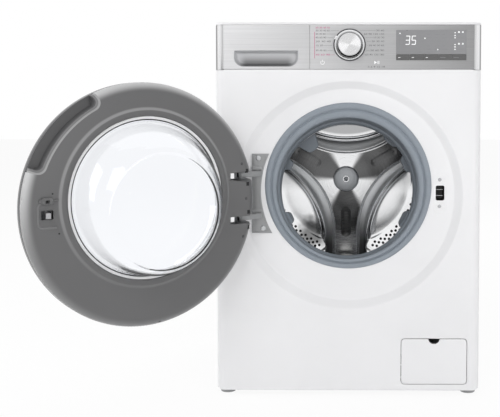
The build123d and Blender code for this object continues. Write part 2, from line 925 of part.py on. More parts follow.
with BuildPart() as drawer_tray:
    block((tray_left, tray_right), (band_depth, band_depth + tray_length),
          (tray_floor, tray_floor + tray_height))
    for cell_left, cell_right in tray_cells:
        block((cell_left, cell_right), (band_depth + tray_wall, band_depth + tray_length - tray_wall),
              (tray_floor + tray_wall, tray_floor + tray_height), mode=Mode.SUBTRACT)
drawer_tray.part.label = "drawer_tray"
export_step(drawer_tray.part, "parts/drawer_tray.step")

with BuildPart() as dispenser_housing:
    block((housing_left, housing_right), (band_depth + seam, housing_back), (bar_top, housing_top))
    block((tray_left - tray_gap, tray_right + tray_gap), (band_depth, housing_back - housing_wall),
          (tray_floor - tray_gap, tray_floor + tray_height + tray_gap), mode=Mode.SUBTRACT)
    rod_up(fill_x, fill_depth, fill_neck, (fill_high, bar_top))
    rod_up(fill_x, fill_depth, fill_bore, (fill_high, tray_floor), mode=Mode.SUBTRACT)
dispenser_housing.part.label = "dispenser_housing"
export_step(dispenser_housing.part, "parts/dispenser_housing.step")

# Connections at the back
with BuildPart() as inlet_valve:
    rod_back(inlet_x, inlet_z, valve_neck, (rear_depth - valve_body, rear_depth + sheet))
    rod_back(inlet_x, inlet_z, spigot_radius, (rear_depth + sheet, rear_depth + sheet + spigot_length))
    rod_back(inlet_x, inlet_z, spigot_bore, (rear_depth - valve_body / 2, rear_depth + sheet + spigot_length),
             mode=Mode.SUBTRACT)
    block((inlet_x - valve_body / 2, inlet_x + valve_body / 2),
          (rear_depth - valve_body, rear_depth - valve_back), (inlet_z - valve_body / 2, rear_bar_low))
inlet_valve.part.label = "inlet_valve"
export_step(inlet_valve.part, "parts/inlet_valve.step")

with BuildPart() as drain_outlet:
    rod_back(drain_x, drain_z, drain_neck, (rear_depth - drain_body, rear_depth + sheet))
    rod_back(drain_x, drain_z, drain_spigot, (rear_depth + sheet, rear_depth + sheet + drain_length))
    rod_back(drain_x, drain_z, drain_neck + flange_rim, (rear_depth - drain_body, rear_depth))
    rod_back(drain_x, drain_z, drain_bore, (rear_depth - drain_body, rear_depth + sheet + drain_length),
             mode=Mode.SUBTRACT)
drain_outlet.part.label = "drain_outlet"
export_step(drain_outlet.part, "parts/drain_outlet.step")

with BuildPart() as cord_gland:
    rod_back(gland_x, gland_z, gland_neck, (rear_depth, rear_depth + sheet))
    rod_back(gland_x, gland_z, gland_neck + flange_rim, (rear_depth - gland_flange, rear_depth))
    rod_back(gland_x, gland_z, gland_neck + gland_rim,
             (rear_depth + sheet, rear_depth + sheet + gland_length))
    rod_back(gland_x, gland_z, gland_bore, (rear_depth - gland_flange, rear_depth + sheet + gland_length),
             mode=Mode.SUBTRACT)
cord_gland.part.label = "cord_gland"
export_step(cord_gland.part, "parts/cord_gland.step")

with BuildPart() as power_board_box:
    block((-power_right, -power_left), (power_front, power_back), (base_top, power_top))
    fillet(power_board_box.edges().filter_by(Axis.Z), radius=power_round)
power_board_box.part.label = "power_board_box"
export_step(power_board_box.part, "parts/power_board_box.step")

# Door lock and screws
with BuildPart() as door_lock:
    block((mouth_radius + sheet + seam, lock_right), (recess_depth + sheet, lock_back),
          (slot_z - lock_height / 2, slot_z + lock_height / 2))
    block((latch_x - slot_width / 2, latch_x + slot_width / 2), (recess_depth, lock_back - band_wall),
          (slot_z - slot_height / 2, slot_z + slot_height / 2), mode=Mode.SUBTRACT)
    for place_x, place_z in lock_screw_places:
        rod_back(place_x, place_z, screw_hole, (recess_depth, lock_back), mode=Mode.SUBTRACT)
door_lock.part.label = "door_lock"
export_step(door_lock.part, "parts/door_lock.step")

with BuildPart() as cabinet_screws:
    for place_x, place_z in hinge_screw_places:
        bracket_face = recess_depth - bracket_thick
        rod_back(place_x, place_z, screw_head, (bracket_face - head_height, bracket_face))
        rod_back(place_x, place_z, screw_shank, (bracket_face, recess_depth + screw_length))
    for place_x, place_z in lock_screw_places:
        rod_back(place_x, place_z, lock_screw_head, (recess_depth - head_height, recess_depth))
        rod_back(place_x, place_z, screw_shank, (recess_depth, recess_depth + screw_length))
    for place_x, place_z in cover_screw_places:
        rod_back(place_x, place_z, screw_head, (cover_seat + sheet, cover_seat + sheet + head_height))
        rod_back(place_x, place_z, screw_shank, (rear_depth - screw_length / 2, cover_seat + sheet))
cabinet_screws.part.label = "cabinet_screws"
export_step(cabinet_screws.part, "parts/cabinet_screws.step")

# Drain pump, its filter and its impeller
with BuildPart() as drain_pump:
    rod_back(pump_x, pump_z, pump_outer, (pump_front, pump_back + band_wall))
    rod_back(pump_x, pump_z, pump_motor, (pump_back + band_wall, pump_motor_back))
    block((sump_x, pump_x), (sump_depth - elbow_radius, sump_depth + elbow_radius),
          (pump_z - elbow_radius, pump_z + elbow_radius))
    rod_up(sump_x, sump_depth, sump_radius, (pump_z - elbow_radius, inlet_top))
    block((pump_x - pump_outer, pump_x + pump_outer),
          (base_front + pump_foot_inset, base_front + base_rail), (base_top, pump_z))
    rod_up(sump_x, sump_depth, sump_radius - band_wall, (pump_z, inlet_top), mode=Mode.SUBTRACT)
    block((sump_x, pump_x), (sump_depth - elbow_radius + band_wall, sump_depth + elbow_radius - band_wall),
          (pump_z - elbow_radius + band_wall, pump_z + elbow_radius - band_wall), mode=Mode.SUBTRACT)
    rod_back(pump_x, pump_z, pump_inner, (pump_front, pump_back), mode=Mode.SUBTRACT)
    rod_back(pump_x, pump_z, pump_shaft + bearing_clearance, (pump_back, pump_motor_back - band_wall),
             mode=Mode.SUBTRACT)
drain_pump.part.label = "drain_pump"
export_step(drain_pump.part, "parts/drain_pump.step")

with BuildPart() as pump_impeller:
    rod_back(pump_x, pump_z, pump_shaft * 2, (pump_chamber, pump_back - pump_gap))
    rod_back(pump_x, pump_z, pump_shaft, (pump_chamber, pump_motor_back - 2 * band_wall))
    for vane in range(pump_vanes):
        with Locations(Location((pump_x, front_y + (pump_chamber + pump_back) / 2 - pump_gap, pump_z),
                                (0, 360.0 / pump_vanes * vane, 0))):
            Box(vane_reach, vane_length, vane_thick, align=(Align.MIN, Align.CENTER, Align.CENTER))
pump_impeller.part.label = "pump_impeller"
export_step(pump_impeller.part, "parts/pump_impeller.step")

with BuildPart() as drain_filter:
    rod_back(pump_x, pump_z, pump_outer, (filter_front, pump_front - filter_gap))
    block((pump_x - filter_grip, pump_x + filter_grip), (filter_front - filter_grip, filter_front),
          (pump_z - pump_inner, pump_z + pump_inner))
    rod_back(pump_x, pump_z, pump_inner - filter_gap, (filter_front, filter_plug))
    rod_back(pump_x, pump_z, filter_cage, (filter_front, filter_back))
    rod_back(pump_x, pump_z, filter_cage - filter_wall, (filter_plug + filter_floor, filter_back),
             mode=Mode.SUBTRACT)
drain_filter.part.label = "drain_filter"
export_step(drain_filter.part, "parts/drain_filter.step")

with BuildPart() as service_hatch:
    with BuildSketch(depth_plane(0, hatch_x, hatch_z)) as hatch_outline:
        RectangleRounded(hatch_width, hatch_height, hatch_corner)
        with Locations((0, hatch_height / 2)):
            SlotOverall(notch_width, 2 * notch_height, mode=Mode.SUBTRACT)
    extrude(hatch_outline.sketch, amount=-hatch_thick)
    for side in (-1, 1):
        edge = hatch_x + side * hatch_width / 2
        block(sorted((edge, edge - side * hatch_ear)), (hatch_thick, hatch_pivot_depth + hatch_ear / 2),
              (hatch_pivot_z - hatch_ear / 2, hatch_pivot_z + hatch_ear / 2))
        pin_end = edge + side * (hatch_gap + hatch_pin_length - seam)
        with Locations(((edge + pin_end) / 2, front_y + hatch_pivot_depth, hatch_pivot_z)):
            Cylinder(hatch_pin, abs(pin_end - edge), rotation=(0, 90, 0))
service_hatch.part.label = "service_hatch"
export_step(service_hatch.part, "parts/service_hatch.step")

# Feet
for foot_name, stem_x, stem_depth in (
    ("levelling_foot_front_left", -foot_x, foot_inset),
    ("levelling_foot_front_right", foot_x, foot_inset),
    ("levelling_foot_rear_left", -foot_x, cabinet_depth - foot_inset),
    ("levelling_foot_rear_right", foot_x, cabinet_depth - foot_inset),
):
    with BuildPart() as levelling_foot:
        rod_up(stem_x, stem_depth, foot_pad, (0, foot_pad_height))
        with BuildSketch(Plane(origin=(stem_x, front_y + stem_depth, foot_pad_height))) as nut:
            RegularPolygon(foot_nut, 6)
        extrude(nut.sketch, amount=base_height - foot_pad_height - foot_gap)
        rod_up(stem_x, stem_depth, foot_stem, (foot_pad_height, base_height + foot_reach - foot_gap))
    levelling_foot.part.label = foot_name
    export_step(levelling_foot.part, f"parts/{foot_name}.step")

# Floating tub
with BuildPart() as tub_front:
    wall_back = tub_front_depth + tub_wall
    turned([(collar_front, collar_inner), (collar_front, collar_inner + tub_wall),
            (tub_front_depth, collar_inner + tub_wall), (tub_front_depth, tub_outer),
            (tub_split - tub_wall, tub_outer), (tub_split - tub_wall, tub_outer + tub_flange),
            (tub_split, tub_outer + tub_flange), (tub_split, tub_inner),
            (wall_back, tub_inner), (wall_back, collar_inner)])
    rod_up(sump_x, sump_depth, sump_radius, (sump_low, sump_low + sump_height))
    rod_up(fill_x, fill_depth, fill_neck, (fill_low - sump_height, fill_low))
    for side in (-1, 1):
        block(sorted((side * (damper_x - damper_radius), side * (damper_x + damper_radius))),
              (damper_depth - damper_radius, damper_depth + damper_radius), (lug_low, lug_low + sump_height))
    rod_up(sump_x, sump_depth, sump_radius - band_wall, (sump_low, sump_low + sump_height),
           mode=Mode.SUBTRACT)
    rod_up(fill_x, fill_depth, fill_bore, (fill_low - sump_height, fill_low), mode=Mode.SUBTRACT)
    rod_back(0, axis_z, tub_inner, (wall_back, tub_split), mode=Mode.SUBTRACT)
    for side in (-1, 1):
        rod_back(side * heater_half, heater_z, heater_rod, (tub_front_depth, wall_back), mode=Mode.SUBTRACT)
tub_front.part.label = "tub_front"
export_step(tub_front.part, "parts/tub_front.step")

with BuildPart() as tub_rear:
    turned([(tub_split, tub_inner), (tub_split, tub_outer + tub_flange),
            (tub_split + tub_wall, tub_outer + tub_flange), (tub_split + tub_wall, tub_outer),
            (motor_seat, tub_outer), (motor_seat, hub_radius), (hub_back, hub_radius),
            (hub_back, bearing_rear_outer), (bearing_rear_seat, bearing_rear_outer),
            (bearing_rear_seat, hub_bore), (bearing_front_seat, hub_bore),
            (bearing_front_seat, bearing_front_outer), (hub_front, bearing_front_outer),
            (hub_front, hub_radius), (tub_back, hub_radius), (tub_back, tub_inner)])
    for side in (-1, 1):
        block(sorted((side * (tub_outer - spring_lug_root), side * (spring_x + spring_lug_tip))),
              (spring_depth - bracket_reach, spring_depth + bracket_reach),
              (spring_low - spring_lug_thick, spring_low))
    block((fan_x - fan_motor_radius, fan_x + fan_motor_radius),
          (fan_depth - fan_motor_radius, fan_depth + fan_motor_radius), (fan_low - fan_pad, fan_low))
    rod_back(0, axis_z, tub_inner, (tub_split, tub_back), mode=Mode.SUBTRACT)
    boss_end = motor_seat + transit_boss_length
    for side in (-1, 1):
        for rise in (-1, 1):
            place = (side * transit_x / 2, transit_z + rise * transit_height / 2)
            rod_back(*place, transit_boss, (motor_seat, boss_end))
            rod_back(*place, transit_thread, (motor_seat + tub_wall, boss_end), mode=Mode.SUBTRACT)
tub_rear.part.label = "tub_rear"
export_step(tub_rear.part, "parts/tub_rear.step")

with BuildPart() as counterweights:
    for turn in (0.0, 180.0):
        crescent = ring_sector(depth_plane(tub_front_depth, 0, axis_z, turn), (weight_inner, weight_outer),
                               (-weight_half_angle, weight_half_angle))
        extrude(crescent, amount=weight_thick)
counterweights.part.label = "counterweights"
export_step(counterweights.part, "parts/counterweights.step")

with BuildPart() as water_heater:
    block((-heater_flange, heater_flange), (tub_front_depth - heater_plate, tub_front_depth),
          (heater_z - heater_rod * 2, heater_z + heater_rod * 2))
    for side in (-1, 1):
        rod_back(side * heater_half, heater_z, heater_rod, (tub_front_depth - heater_terminal, heater_back))
    block((-heater_half, heater_half), (heater_back - 2 * heater_rod, heater_back),
          (heater_z - heater_rod, heater_z + heater_rod))
water_heater.part.label = "water_heater"
export_step(water_heater.part, "parts/water_heater.step")

with BuildPart() as shaft_bearings:
    bearing_front_end = bearing_front_seat - bearing_width
    turned([(bearing_front_end, shaft_front + bearing_clearance), (bearing_front_end, bearing_front_outer),
            (bearing_front_seat, bearing_front_outer), (bearing_front_seat, shaft_front + bearing_clearance)])
    turned([(bearing_rear_seat, shaft_rear + bearing_clearance), (bearing_rear_seat, bearing_rear_outer),
            (hub_back - seam, bearing_rear_outer), (hub_back - seam, shaft_rear + bearing_clearance)])
shaft_bearings.part.label = "shaft_bearings"
export_step(shaft_bearings.part, "parts/shaft_bearings.step")

with BuildPart() as motor_stator:
    turned([(motor_seat, stator_inner), (motor_seat, stator_core), (stator_back, stator_core),
            (stator_back, stator_inner)])
    with BuildSketch(depth_plane(stator_back - tooth_inset, 0, axis_z)) as teeth:
        with PolarLocations((stator_core + stator_outer) / 2, stator_teeth):
            Rectangle(stator_outer - stator_core + tooth_root, tooth_width)
        with PolarLocations(stator_outer - tooth_tip / 2, stator_teeth):
            Rectangle(tooth_tip, 2 * tooth_width)
    extrude(teeth.sketch, amount=stator_back - motor_seat - 2 * tooth_inset)
motor_stator.part.label = "motor_stator"
export_step(motor_stator.part, "parts/motor_stator.step")

with BuildPart() as damper_cylinders:
    for side in (-1, 1):
        rod_up(side * damper_x, damper_depth, damper_radius, (base_top, damper_top))
        rod_up(side * damper_x, damper_depth, damper_bore, (base_top + damper_cap, damper_top - damper_cap),
               mode=Mode.SUBTRACT)
        rod_up(side * damper_x, damper_depth, damper_rod + piston_gap, (damper_top - damper_cap, damper_top),
               mode=Mode.SUBTRACT)
damper_cylinders.part.label = "damper_cylinders"
export_step(damper_cylinders.part, "parts/damper_cylinders.step")

with BuildPart() as damper_pistons:
    for side in (-1, 1):
        rod_up(side * damper_x, damper_depth, damper_bore - piston_gap,
               (piston_low, piston_low + piston_length))
        rod_up(side * damper_x, damper_depth, damper_rod, (piston_low + piston_length, lug_low))
damper_pistons.part.label = "damper_pistons"
export_step(damper_pistons.part, "parts/damper_pistons.step")

with BuildPart() as suspension_springs:
    for side in (-1, 1):
        rod_up(side * spring_x, spring_depth, spring_radius, (spring_low, spring_high))
        rod_up(side * spring_x, spring_depth, spring_radius - spring_wire, (spring_low, spring_high),
               mode=Mode.SUBTRACT)
suspension_springs.part.label = "suspension_springs"
export_step(suspension_springs.part, "parts/suspension_springs.step")

with BuildPart() as tub_pump_hose:
    ribbed(sump_x, sump_depth, sump_radius - band_wall, sump_radius, (inlet_top, sump_low), hose_folds)
tub_pump_hose.part.label = "tub_pump_hose"
export_step(tub_pump_hose.part, "parts/tub_pump_hose.step")

with BuildPart() as fill_bellows:
    ribbed(fill_x, fill_depth, fill_bore, fill_neck, (fill_low, fill_high), bellows_folds)
fill_bellows.part.label = "fill_bellows"
export_step(fill_bellows.part, "parts/fill_bellows.step")

# Drying circuit
with BuildPart() as condenser_duct:
    block((condenser_left, condenser_right), (motor_seat, condenser_back), (condenser_low, condenser_high))
    fillet(condenser_duct.edges().filter_by(Axis.Z).sort_by(Axis.Y)[-2:], radius=duct_round)
    block((condenser_left + fan_wall, condenser_right - fan_wall),
          (motor_seat + fan_wall, condenser_back - fan_wall),
          (condenser_low + fan_wall, condenser_high - fan_wall), mode=Mode.SUBTRACT)
    block((condenser_left + fan_wall, inlet_box_right - fan_wall), (motor_seat, motor_seat + fan_wall),
          (fan_low + fan_wall, fan_high - fan_wall), mode=Mode.SUBTRACT)
condenser_duct.part.label = "condenser_duct"
export_step(condenser_duct.part, "parts/condenser_duct.step")

with BuildPart() as drying_fan_housing:
    rod_up(fan_x, fan_depth, fan_radius, (fan_low, fan_high))
    block((condenser_left, inlet_box_right), (fan_depth, motor_seat), (fan_low, fan_high))
    block((duct_left, duct_right), (heater_duct_back, fan_depth), (fan_low, fan_high))
    rod_up(fan_x, fan_depth, fan_motor_radius, (fan_high, fan_motor_top))
    rod_up(fan_x, fan_depth, fan_radius - fan_wall, (fan_low + fan_wall, fan_high - fan_wall),
           mode=Mode.SUBTRACT)
    block((condenser_left + fan_wall, inlet_box_right - fan_wall), (fan_depth, motor_seat),
          (fan_low + fan_wall, fan_high - fan_wall), mode=Mode.SUBTRACT)
    block((duct_left + fan_wall, duct_right - fan_wall), (heater_duct_back, fan_depth),
          (fan_low + fan_wall, fan_high - fan_wall), mode=Mode.SUBTRACT)
    rod_up(fan_x, fan_depth, fan_shaft + bearing_clearance, (fan_high - fan_wall, fan_motor_top - fan_wall),
           mode=Mode.SUBTRACT)
drying_fan_housing.part.label = "drying_fan_housing"
export_step(drying_fan_housing.part, "parts/drying_fan_housing.step")

with BuildPart() as fan_impeller:
    rod_up(fan_x, fan_depth, impeller_radius, (impeller_low, impeller_low + impeller_disc))
    rod_up(fan_x, fan_depth, impeller_hub, (impeller_low, impeller_high))
    rod_up(fan_x, fan_depth, fan_shaft, (impeller_low, fan_motor_top - 2 * fan_wall))
    with BuildSketch(Plane(origin=(fan_x, front_y + fan_depth, impeller_low))) as vanes:
        with PolarLocations((impeller_eye + impeller_radius) / 2, impeller_vanes):
            Rectangle(impeller_radius - impeller_eye, impeller_disc, rotation=vane_lean_angle)
    extrude(vanes.sketch, amount=impeller_high - impeller_low)
fan_impeller.part.label = "fan_impeller"
export_step(fan_impeller.part, "parts/fan_impeller.step")

with BuildPart() as drying_heater_duct:
    block((duct_left, duct_right), (heater_duct_front, heater_duct_back), (fan_low, fan_high))
    block((duct_left, duct_right), (heater_duct_front, tub_front_depth), (heater_duct_low, fan_high))
    block((duct_left + fan_wall, duct_right - fan_wall), (heater_duct_front + fan_wall, heater_duct_back),
          (fan_low + fan_wall, fan_high - fan_wall), mode=Mode.SUBTRACT)
    block((duct_left + fan_wall, duct_right - fan_wall),
          (heater_duct_front + fan_wall, tub_front_depth - fan_wall),
          (heater_duct_low + fan_wall, fan_high - fan_wall), mode=Mode.SUBTRACT)
drying_heater_duct.part.label = "drying_heater_duct"
export_step(drying_heater_duct.part, "parts/drying_heater_duct.step")

# Drum
with BuildPart() as drum_shell:
    turned([(drum_front, drum_mouth), (drum_front, drum_outer), (pan_back, drum_outer),
            (pan_back, drum_inner), (drum_front + drum_wall, drum_inner),
            (drum_front + drum_wall, drum_mouth + drum_wall), (drum_front + drum_lip, drum_mouth + drum_wall),
            (drum_front + drum_lip, drum_mouth)])
drum_shell.part.label = "drum_shell"
export_step(drum_shell.part, "parts/drum_shell.step")

with BuildPart() as drum_back:
    rod_back(0, axis_z, drum_inner, (star_depth, star_depth + star_sheet))
    turned([(star_depth, drum_inner - star_sheet), (star_depth, drum_inner), (pan_back, drum_inner),
            (pan_back, drum_inner - star_sheet)])
    hollows((star_depth, star_depth + hollow_step + star_sheet), hollow_rim_radius + star_sheet,
            hollow_rim_offset - star_sheet, hollow_limit + star_sheet)
    hollows((star_depth, pan_back), hollow_floor_radius + star_sheet, hollow_floor_offset - star_sheet,
            hollow_limit)
    hollows((star_depth, star_depth + hollow_step), hollow_rim_radius, hollow_rim_offset, hollow_limit,
            mode=Mode.SUBTRACT)
    hollows((star_depth, pan_back - star_sheet), hollow_floor_radius, hollow_floor_offset,
            hollow_limit - star_sheet, mode=Mode.SUBTRACT)
    with BuildSketch(depth_plane(star_depth + dimple_depth, 0, axis_z)) as dimples:
        with PolarLocations((dimple_inner + dimple_outer) / 2, arm_count, start_angle=arm_start_angle):
            SlotOverall(dimple_outer - dimple_inner, dimple_width)
    extrude(dimples.sketch, amount=dimple_depth, mode=Mode.SUBTRACT)
drum_back.part.label = "drum_back"
export_step(drum_back.part, "parts/drum_back.step")

with BuildPart() as drum_lifters:
    for angle in range(0, 360, 360 // arm_count):
        with BuildSketch(depth_plane(lifter_back, 0, axis_z, turn=angle)) as lifter_section:
            with BuildLine():
                Polyline((lifter_base / 2, -drum_outer), (lifter_top / 2, -lifter_radius),
                         (-lifter_top / 2, -lifter_radius), (-lifter_base / 2, -drum_outer), close=True)
            make_face()
            fillet(lifter_section.vertices().sort_by_distance((0, 0))[:2], radius=lifter_round)
        extrude(lifter_section.sketch, amount=lifter_back - lifter_front)
    turned([(lifter_front, drum_inner), (lifter_front, drum_inner - lifter_toe),
            (lifter_front + lifter_slope, lifter_limit), (lifter_back - lifter_slope, lifter_limit),
            (lifter_back, drum_inner - lifter_toe), (lifter_back, drum_inner)], mode=Mode.INTERSECT)
drum_lifters.part.label = "drum_lifters"
export_step(drum_lifters.part, "parts/drum_lifters.step")

with BuildPart() as drum_spider:
    spider_front = star_depth + star_sheet
    rod_back(0, axis_z, spider_hub, (spider_front, spider_back))
    with BuildSketch(depth_plane(spider_back, 0, axis_z)) as spider_arms:
        with PolarLocations(spider_reach / 2, arm_count, start_angle=arm_start_angle):
            Rectangle(spider_reach, spider_arm)
    extrude(spider_arms.sketch, amount=spider_back - spider_front)
    rod_back(0, axis_z, spider_reach, (spider_front, spider_back), mode=Mode.INTERSECT)
    rod_back(0, axis_z, shaft_front, (spider_back, shaft_step))
    rod_back(0, axis_z, shaft_rear, (shaft_step, shaft_end))
drum_spider.part.label = "drum_spider"
export_step(drum_spider.part, "parts/drum_spider.step")

with BuildPart() as motor_rotor:
    rotor_back = rotor_plate + rotor_thick
    turned([(rotor_front, rotor_inner), (rotor_front, rotor_outer), (rotor_back, rotor_outer),
            (rotor_back, rotor_boss), (shaft_end, rotor_boss), (shaft_end, shaft_rear),
            (rotor_plate, shaft_rear), (rotor_plate, rotor_inner)])
motor_rotor.part.label = "motor_rotor"
export_step(motor_rotor.part, "parts/motor_rotor.step")

with BuildPart() as hub_cap:
    cap_front = star_depth - hub_cap_height
    groove_floor = star_depth - hub_cap_edge
    turned([(star_depth, 0), (star_depth, hub_cap_radius), (groove_floor, hub_cap_radius),
            (cap_front, hub_cap_radius - hub_cap_edge), (cap_front, hub_screw + seam),
            (groove_floor, hub_screw + seam), (groove_floor, hub_screw), (cap_front, hub_screw),
            (cap_front, 0)])
hub_cap.part.label = "hub_cap"
export_step(hub_cap.part, "parts/hub_cap.step")

# Door seal: a lip in the mouth, a cone and folds down to the tub's collar, and five nozzle bosses
with BuildPart() as door_gasket:
    skirt_middle = (skirt_inner + skirt_outer) / 2
    lofted([(lip_depth, lip_outer, mouth_z), (cone_depth, skirt_outer, axis_z)])
    lofted([(lip_depth, lip_inner, mouth_z), (cone_depth, skirt_inner, axis_z)], mode=Mode.SUBTRACT)
    turned([(lip_front, lip_nose), (lip_front, lip_outer), (lip_depth, lip_outer), (lip_depth, lip_inner),
            (lip_groove, lip_inner), (lip_groove, lip_nose)], z=mouth_z)
    turned([(cone_depth, skirt_inner), (cone_depth, skirt_outer), (skirt_back, skirt_outer),
            (skirt_back, skirt_inner)])
    for angle, width, reach in seal_bosses:
        with BuildSketch(depth_plane(boss_back, 0, axis_z, turn=angle)) as boss:
            with Locations(((reach + skirt_middle) / 2, 0)):
                boss_face = Rectangle(skirt_middle - reach, width)
            fillet(boss_face.vertices().sort_by(Axis.X)[:2], radius=boss_round)
        extrude(boss.sketch, amount=boss_back - boss_front)
door_gasket.part.label = "door_gasket"
export_step(door_gasket.part, "parts/door_gasket.step")

# Door hinge on the cabinet
with BuildPart() as door_hinge_bracket:
    block((bracket_left, arm_root_x + bracket_spread), (recess_depth - bracket_thick, recess_depth),
          (bracket_low, bracket_high))
    rod_back(0, bracket_arc_z, bracket_arc, (recess_depth - bracket_thick, recess_depth), mode=Mode.SUBTRACT)
    for side in (-1, 1):
        arm_low = hinge_mid + side * arm_pitch / 2 - arm_half
        with BuildSketch(level_plane(arm_low)) as arm_outline:
            with Locations((hinge_x, hinge_depth)):
                Circle(hinge_eye)
            with Locations((arm_root_x, recess_depth - arm_root_radius)):
                Circle(arm_root_radius)
            make_hull()
        extrude(arm_outline.sketch, amount=2 * arm_half)
        rod_up(hinge_x, hinge_depth, hinge_pin + pin_clearance, (arm_low, arm_low + 2 * arm_half),
               mode=Mode.SUBTRACT)
    for place_x, place_z in hinge_screw_places:
        rod_back(place_x, place_z, screw_hole, (recess_depth - bracket_thick, recess_depth),
                 mode=Mode.SUBTRACT)
door_hinge_bracket.part.label = "door_hinge_bracket"
export_step(door_hinge_bracket.part, "parts/door_hinge_bracket.step")

# Door, standing open
with BuildPart() as door_ring:
    with BuildSketch(door_section(0)) as ring_section:
        with BuildLine():
            flat_radius = door_radius - door_round
            inner_round = door_round - door_wall
            Polyline((flat_radius, 0), (0, 0), (0, door_wall), (flat_radius, door_wall))
            CenterArc((flat_radius, door_round), inner_round, -90, 90)
            Polyline((door_radius - door_wall, door_round), (door_radius - door_wall, door_ring_edge),
                     (door_radius, door_ring_edge), (door_radius, door_round))
            CenterArc((flat_radius, door_round), door_round, 0, -90)
        make_face()
    revolve(ring_section.sketch, axis=Axis(door_centre, -door_in))
    door_turned([(0, 0), (step_radius + door_wall, 0), (step_radius + door_wall, step_depth + door_wall),
                 (0, step_depth + door_wall)], lift=glass_lift)
    door_turned([(0, 0), (step_radius, 0), (step_radius, step_depth), (0, step_depth)], lift=glass_lift,
                mode=Mode.SUBTRACT)
    door_turned([(0, step_depth), (ring_opening, step_depth), (ring_opening, step_depth + door_wall),
                 (0, step_depth + door_wall)], lift=glass_lift, mode=Mode.SUBTRACT)
    grip_case = ring_sector(door_plane(grip_depth + door_wall), (grip_radius - door_wall, door_radius),
                            (grip_start_angle - grip_end_wall, grip_end_angle + grip_end_wall))
    extrude(grip_case, amount=grip_depth + door_wall)
    with BuildSketch(door_section(0)) as rim_limit:
        with BuildLine():
            Polyline((flat_radius, 0), (0, 0), (0, door_ring_edge), (door_radius, door_ring_edge),
                     (door_radius, door_round))
            CenterArc((flat_radius, door_round), door_round, 0, -90)
        make_face()
    revolve(rim_limit.sketch, axis=Axis(door_centre, -door_in), mode=Mode.INTERSECT)
    grip_sector = ring_sector(door_plane(grip_depth), (grip_radius, door_radius + door_wall),
                              (grip_start_angle, grip_end_angle))
    extrude(grip_sector, amount=grip_depth, mode=Mode.SUBTRACT)
    for slot_lift in arm_lifts:
        door_block((slot_inner, door_radius + door_wall), (0, door_ring_edge),
                   (slot_lift - arm_half - arm_gap, slot_lift + arm_half + arm_gap), mode=Mode.SUBTRACT)
    door_block((latch_u - ridge_reach, latch_u + window_half), (-ridge_proud, 0), (ridge_low, ridge_high))
    door_block((latch_u - window_half, latch_u + window_half), (-guide_proud, 0), (guide_low, guide_high))
    door_block((latch_u - window_half, latch_u + window_half), (-ridge_proud, door_wall),
               (latch_lift - window_height / 2, latch_lift + window_height / 2), mode=Mode.SUBTRACT)
    for side in (-1, 1):
        ear_lifts = sorted((latch_lift + side * (latch_height / 2 + window_gap),
                            latch_lift + side * (latch_height / 2 + window_gap + door_wall)))
        door_block((latch_u - window_half - door_wall, latch_u + window_half + door_wall),
                   (door_wall, latch_pivot_out + door_wall), ear_lifts)
        door_rod_up(latch_u, latch_pivot_out, latch_pin + pin_clearance, ear_lifts, mode=Mode.SUBTRACT)
door_ring.part.label = "door_ring"
export_step(door_ring.part, "parts/door_ring.step")

with BuildPart() as door_outer_shell:
    door_turned([(door_radius - door_wall, door_ring_edge), (door_radius, door_ring_edge),
                 (door_radius, door_thick - shell_chamfer), (door_radius - shell_bevel, door_thick),
                 (window_radius + window_gap, door_thick), (window_radius + window_gap, window_seat),
                 (shell_inner, window_seat), (shell_inner, shell_floor), (shell_floor_radius, shell_floor),
                 (door_radius - door_wall, shell_side)])
    for slot_lift in arm_lifts:
        door_block((slot_inner, door_radius + door_wall), (door_ring_edge, slot_out),
                   (slot_lift - arm_half - arm_gap, slot_lift + arm_half + arm_gap), mode=Mode.SUBTRACT)
door_outer_shell.part.label = "door_outer_shell"
export_step(door_outer_shell.part, "parts/door_outer_shell.step")

with BuildPart() as door_window:
    crown = (window_radius**2 + window_bulge**2) / (2 * window_bulge)
    half_way = math.sqrt(crown**2 - (window_radius / 2) ** 2) - crown + window_bulge
    with BuildSketch(door_section(0)) as window_section:
        with BuildLine():
            for face in (window_seat, window_seat + window_thick):
                ThreePointArc((0, face + window_bulge), (window_radius / 2, face + half_way),
                              (window_radius, face))
            Line((0, window_seat + window_bulge), (0, window_seat + window_bulge + window_thick))
            Line((window_radius, window_seat), (window_radius, window_seat + window_thick))
        make_face()
    revolve(window_section.sketch, axis=Axis(door_centre, -door_in))
door_window.part.label = "door_window"
export_step(door_window.part, "parts/door_window.step")

with BuildPart() as door_bowl:
    bowl_seat = step_depth + door_wall
    door_lofted([(bowl_seat + glass_wall, ring_opening - bowl_gap, glass_lift)] + bowl_stations)
    door_turned([(0, bowl_seat), (bowl_flange, bowl_seat), (bowl_flange, bowl_seat + glass_wall),
                 (0, bowl_seat + glass_wall)], lift=glass_lift)
    door_lofted([(bowl_seat + glass_wall, ring_opening - bowl_gap - glass_wall, glass_lift)]
                + [(out + glass_wall, radius - glass_wall, lift) for out, radius, lift in bowl_stations],
                mode=Mode.SUBTRACT)
door_bowl.part.label = "door_bowl"
export_step(door_bowl.part, "parts/door_bowl.step")

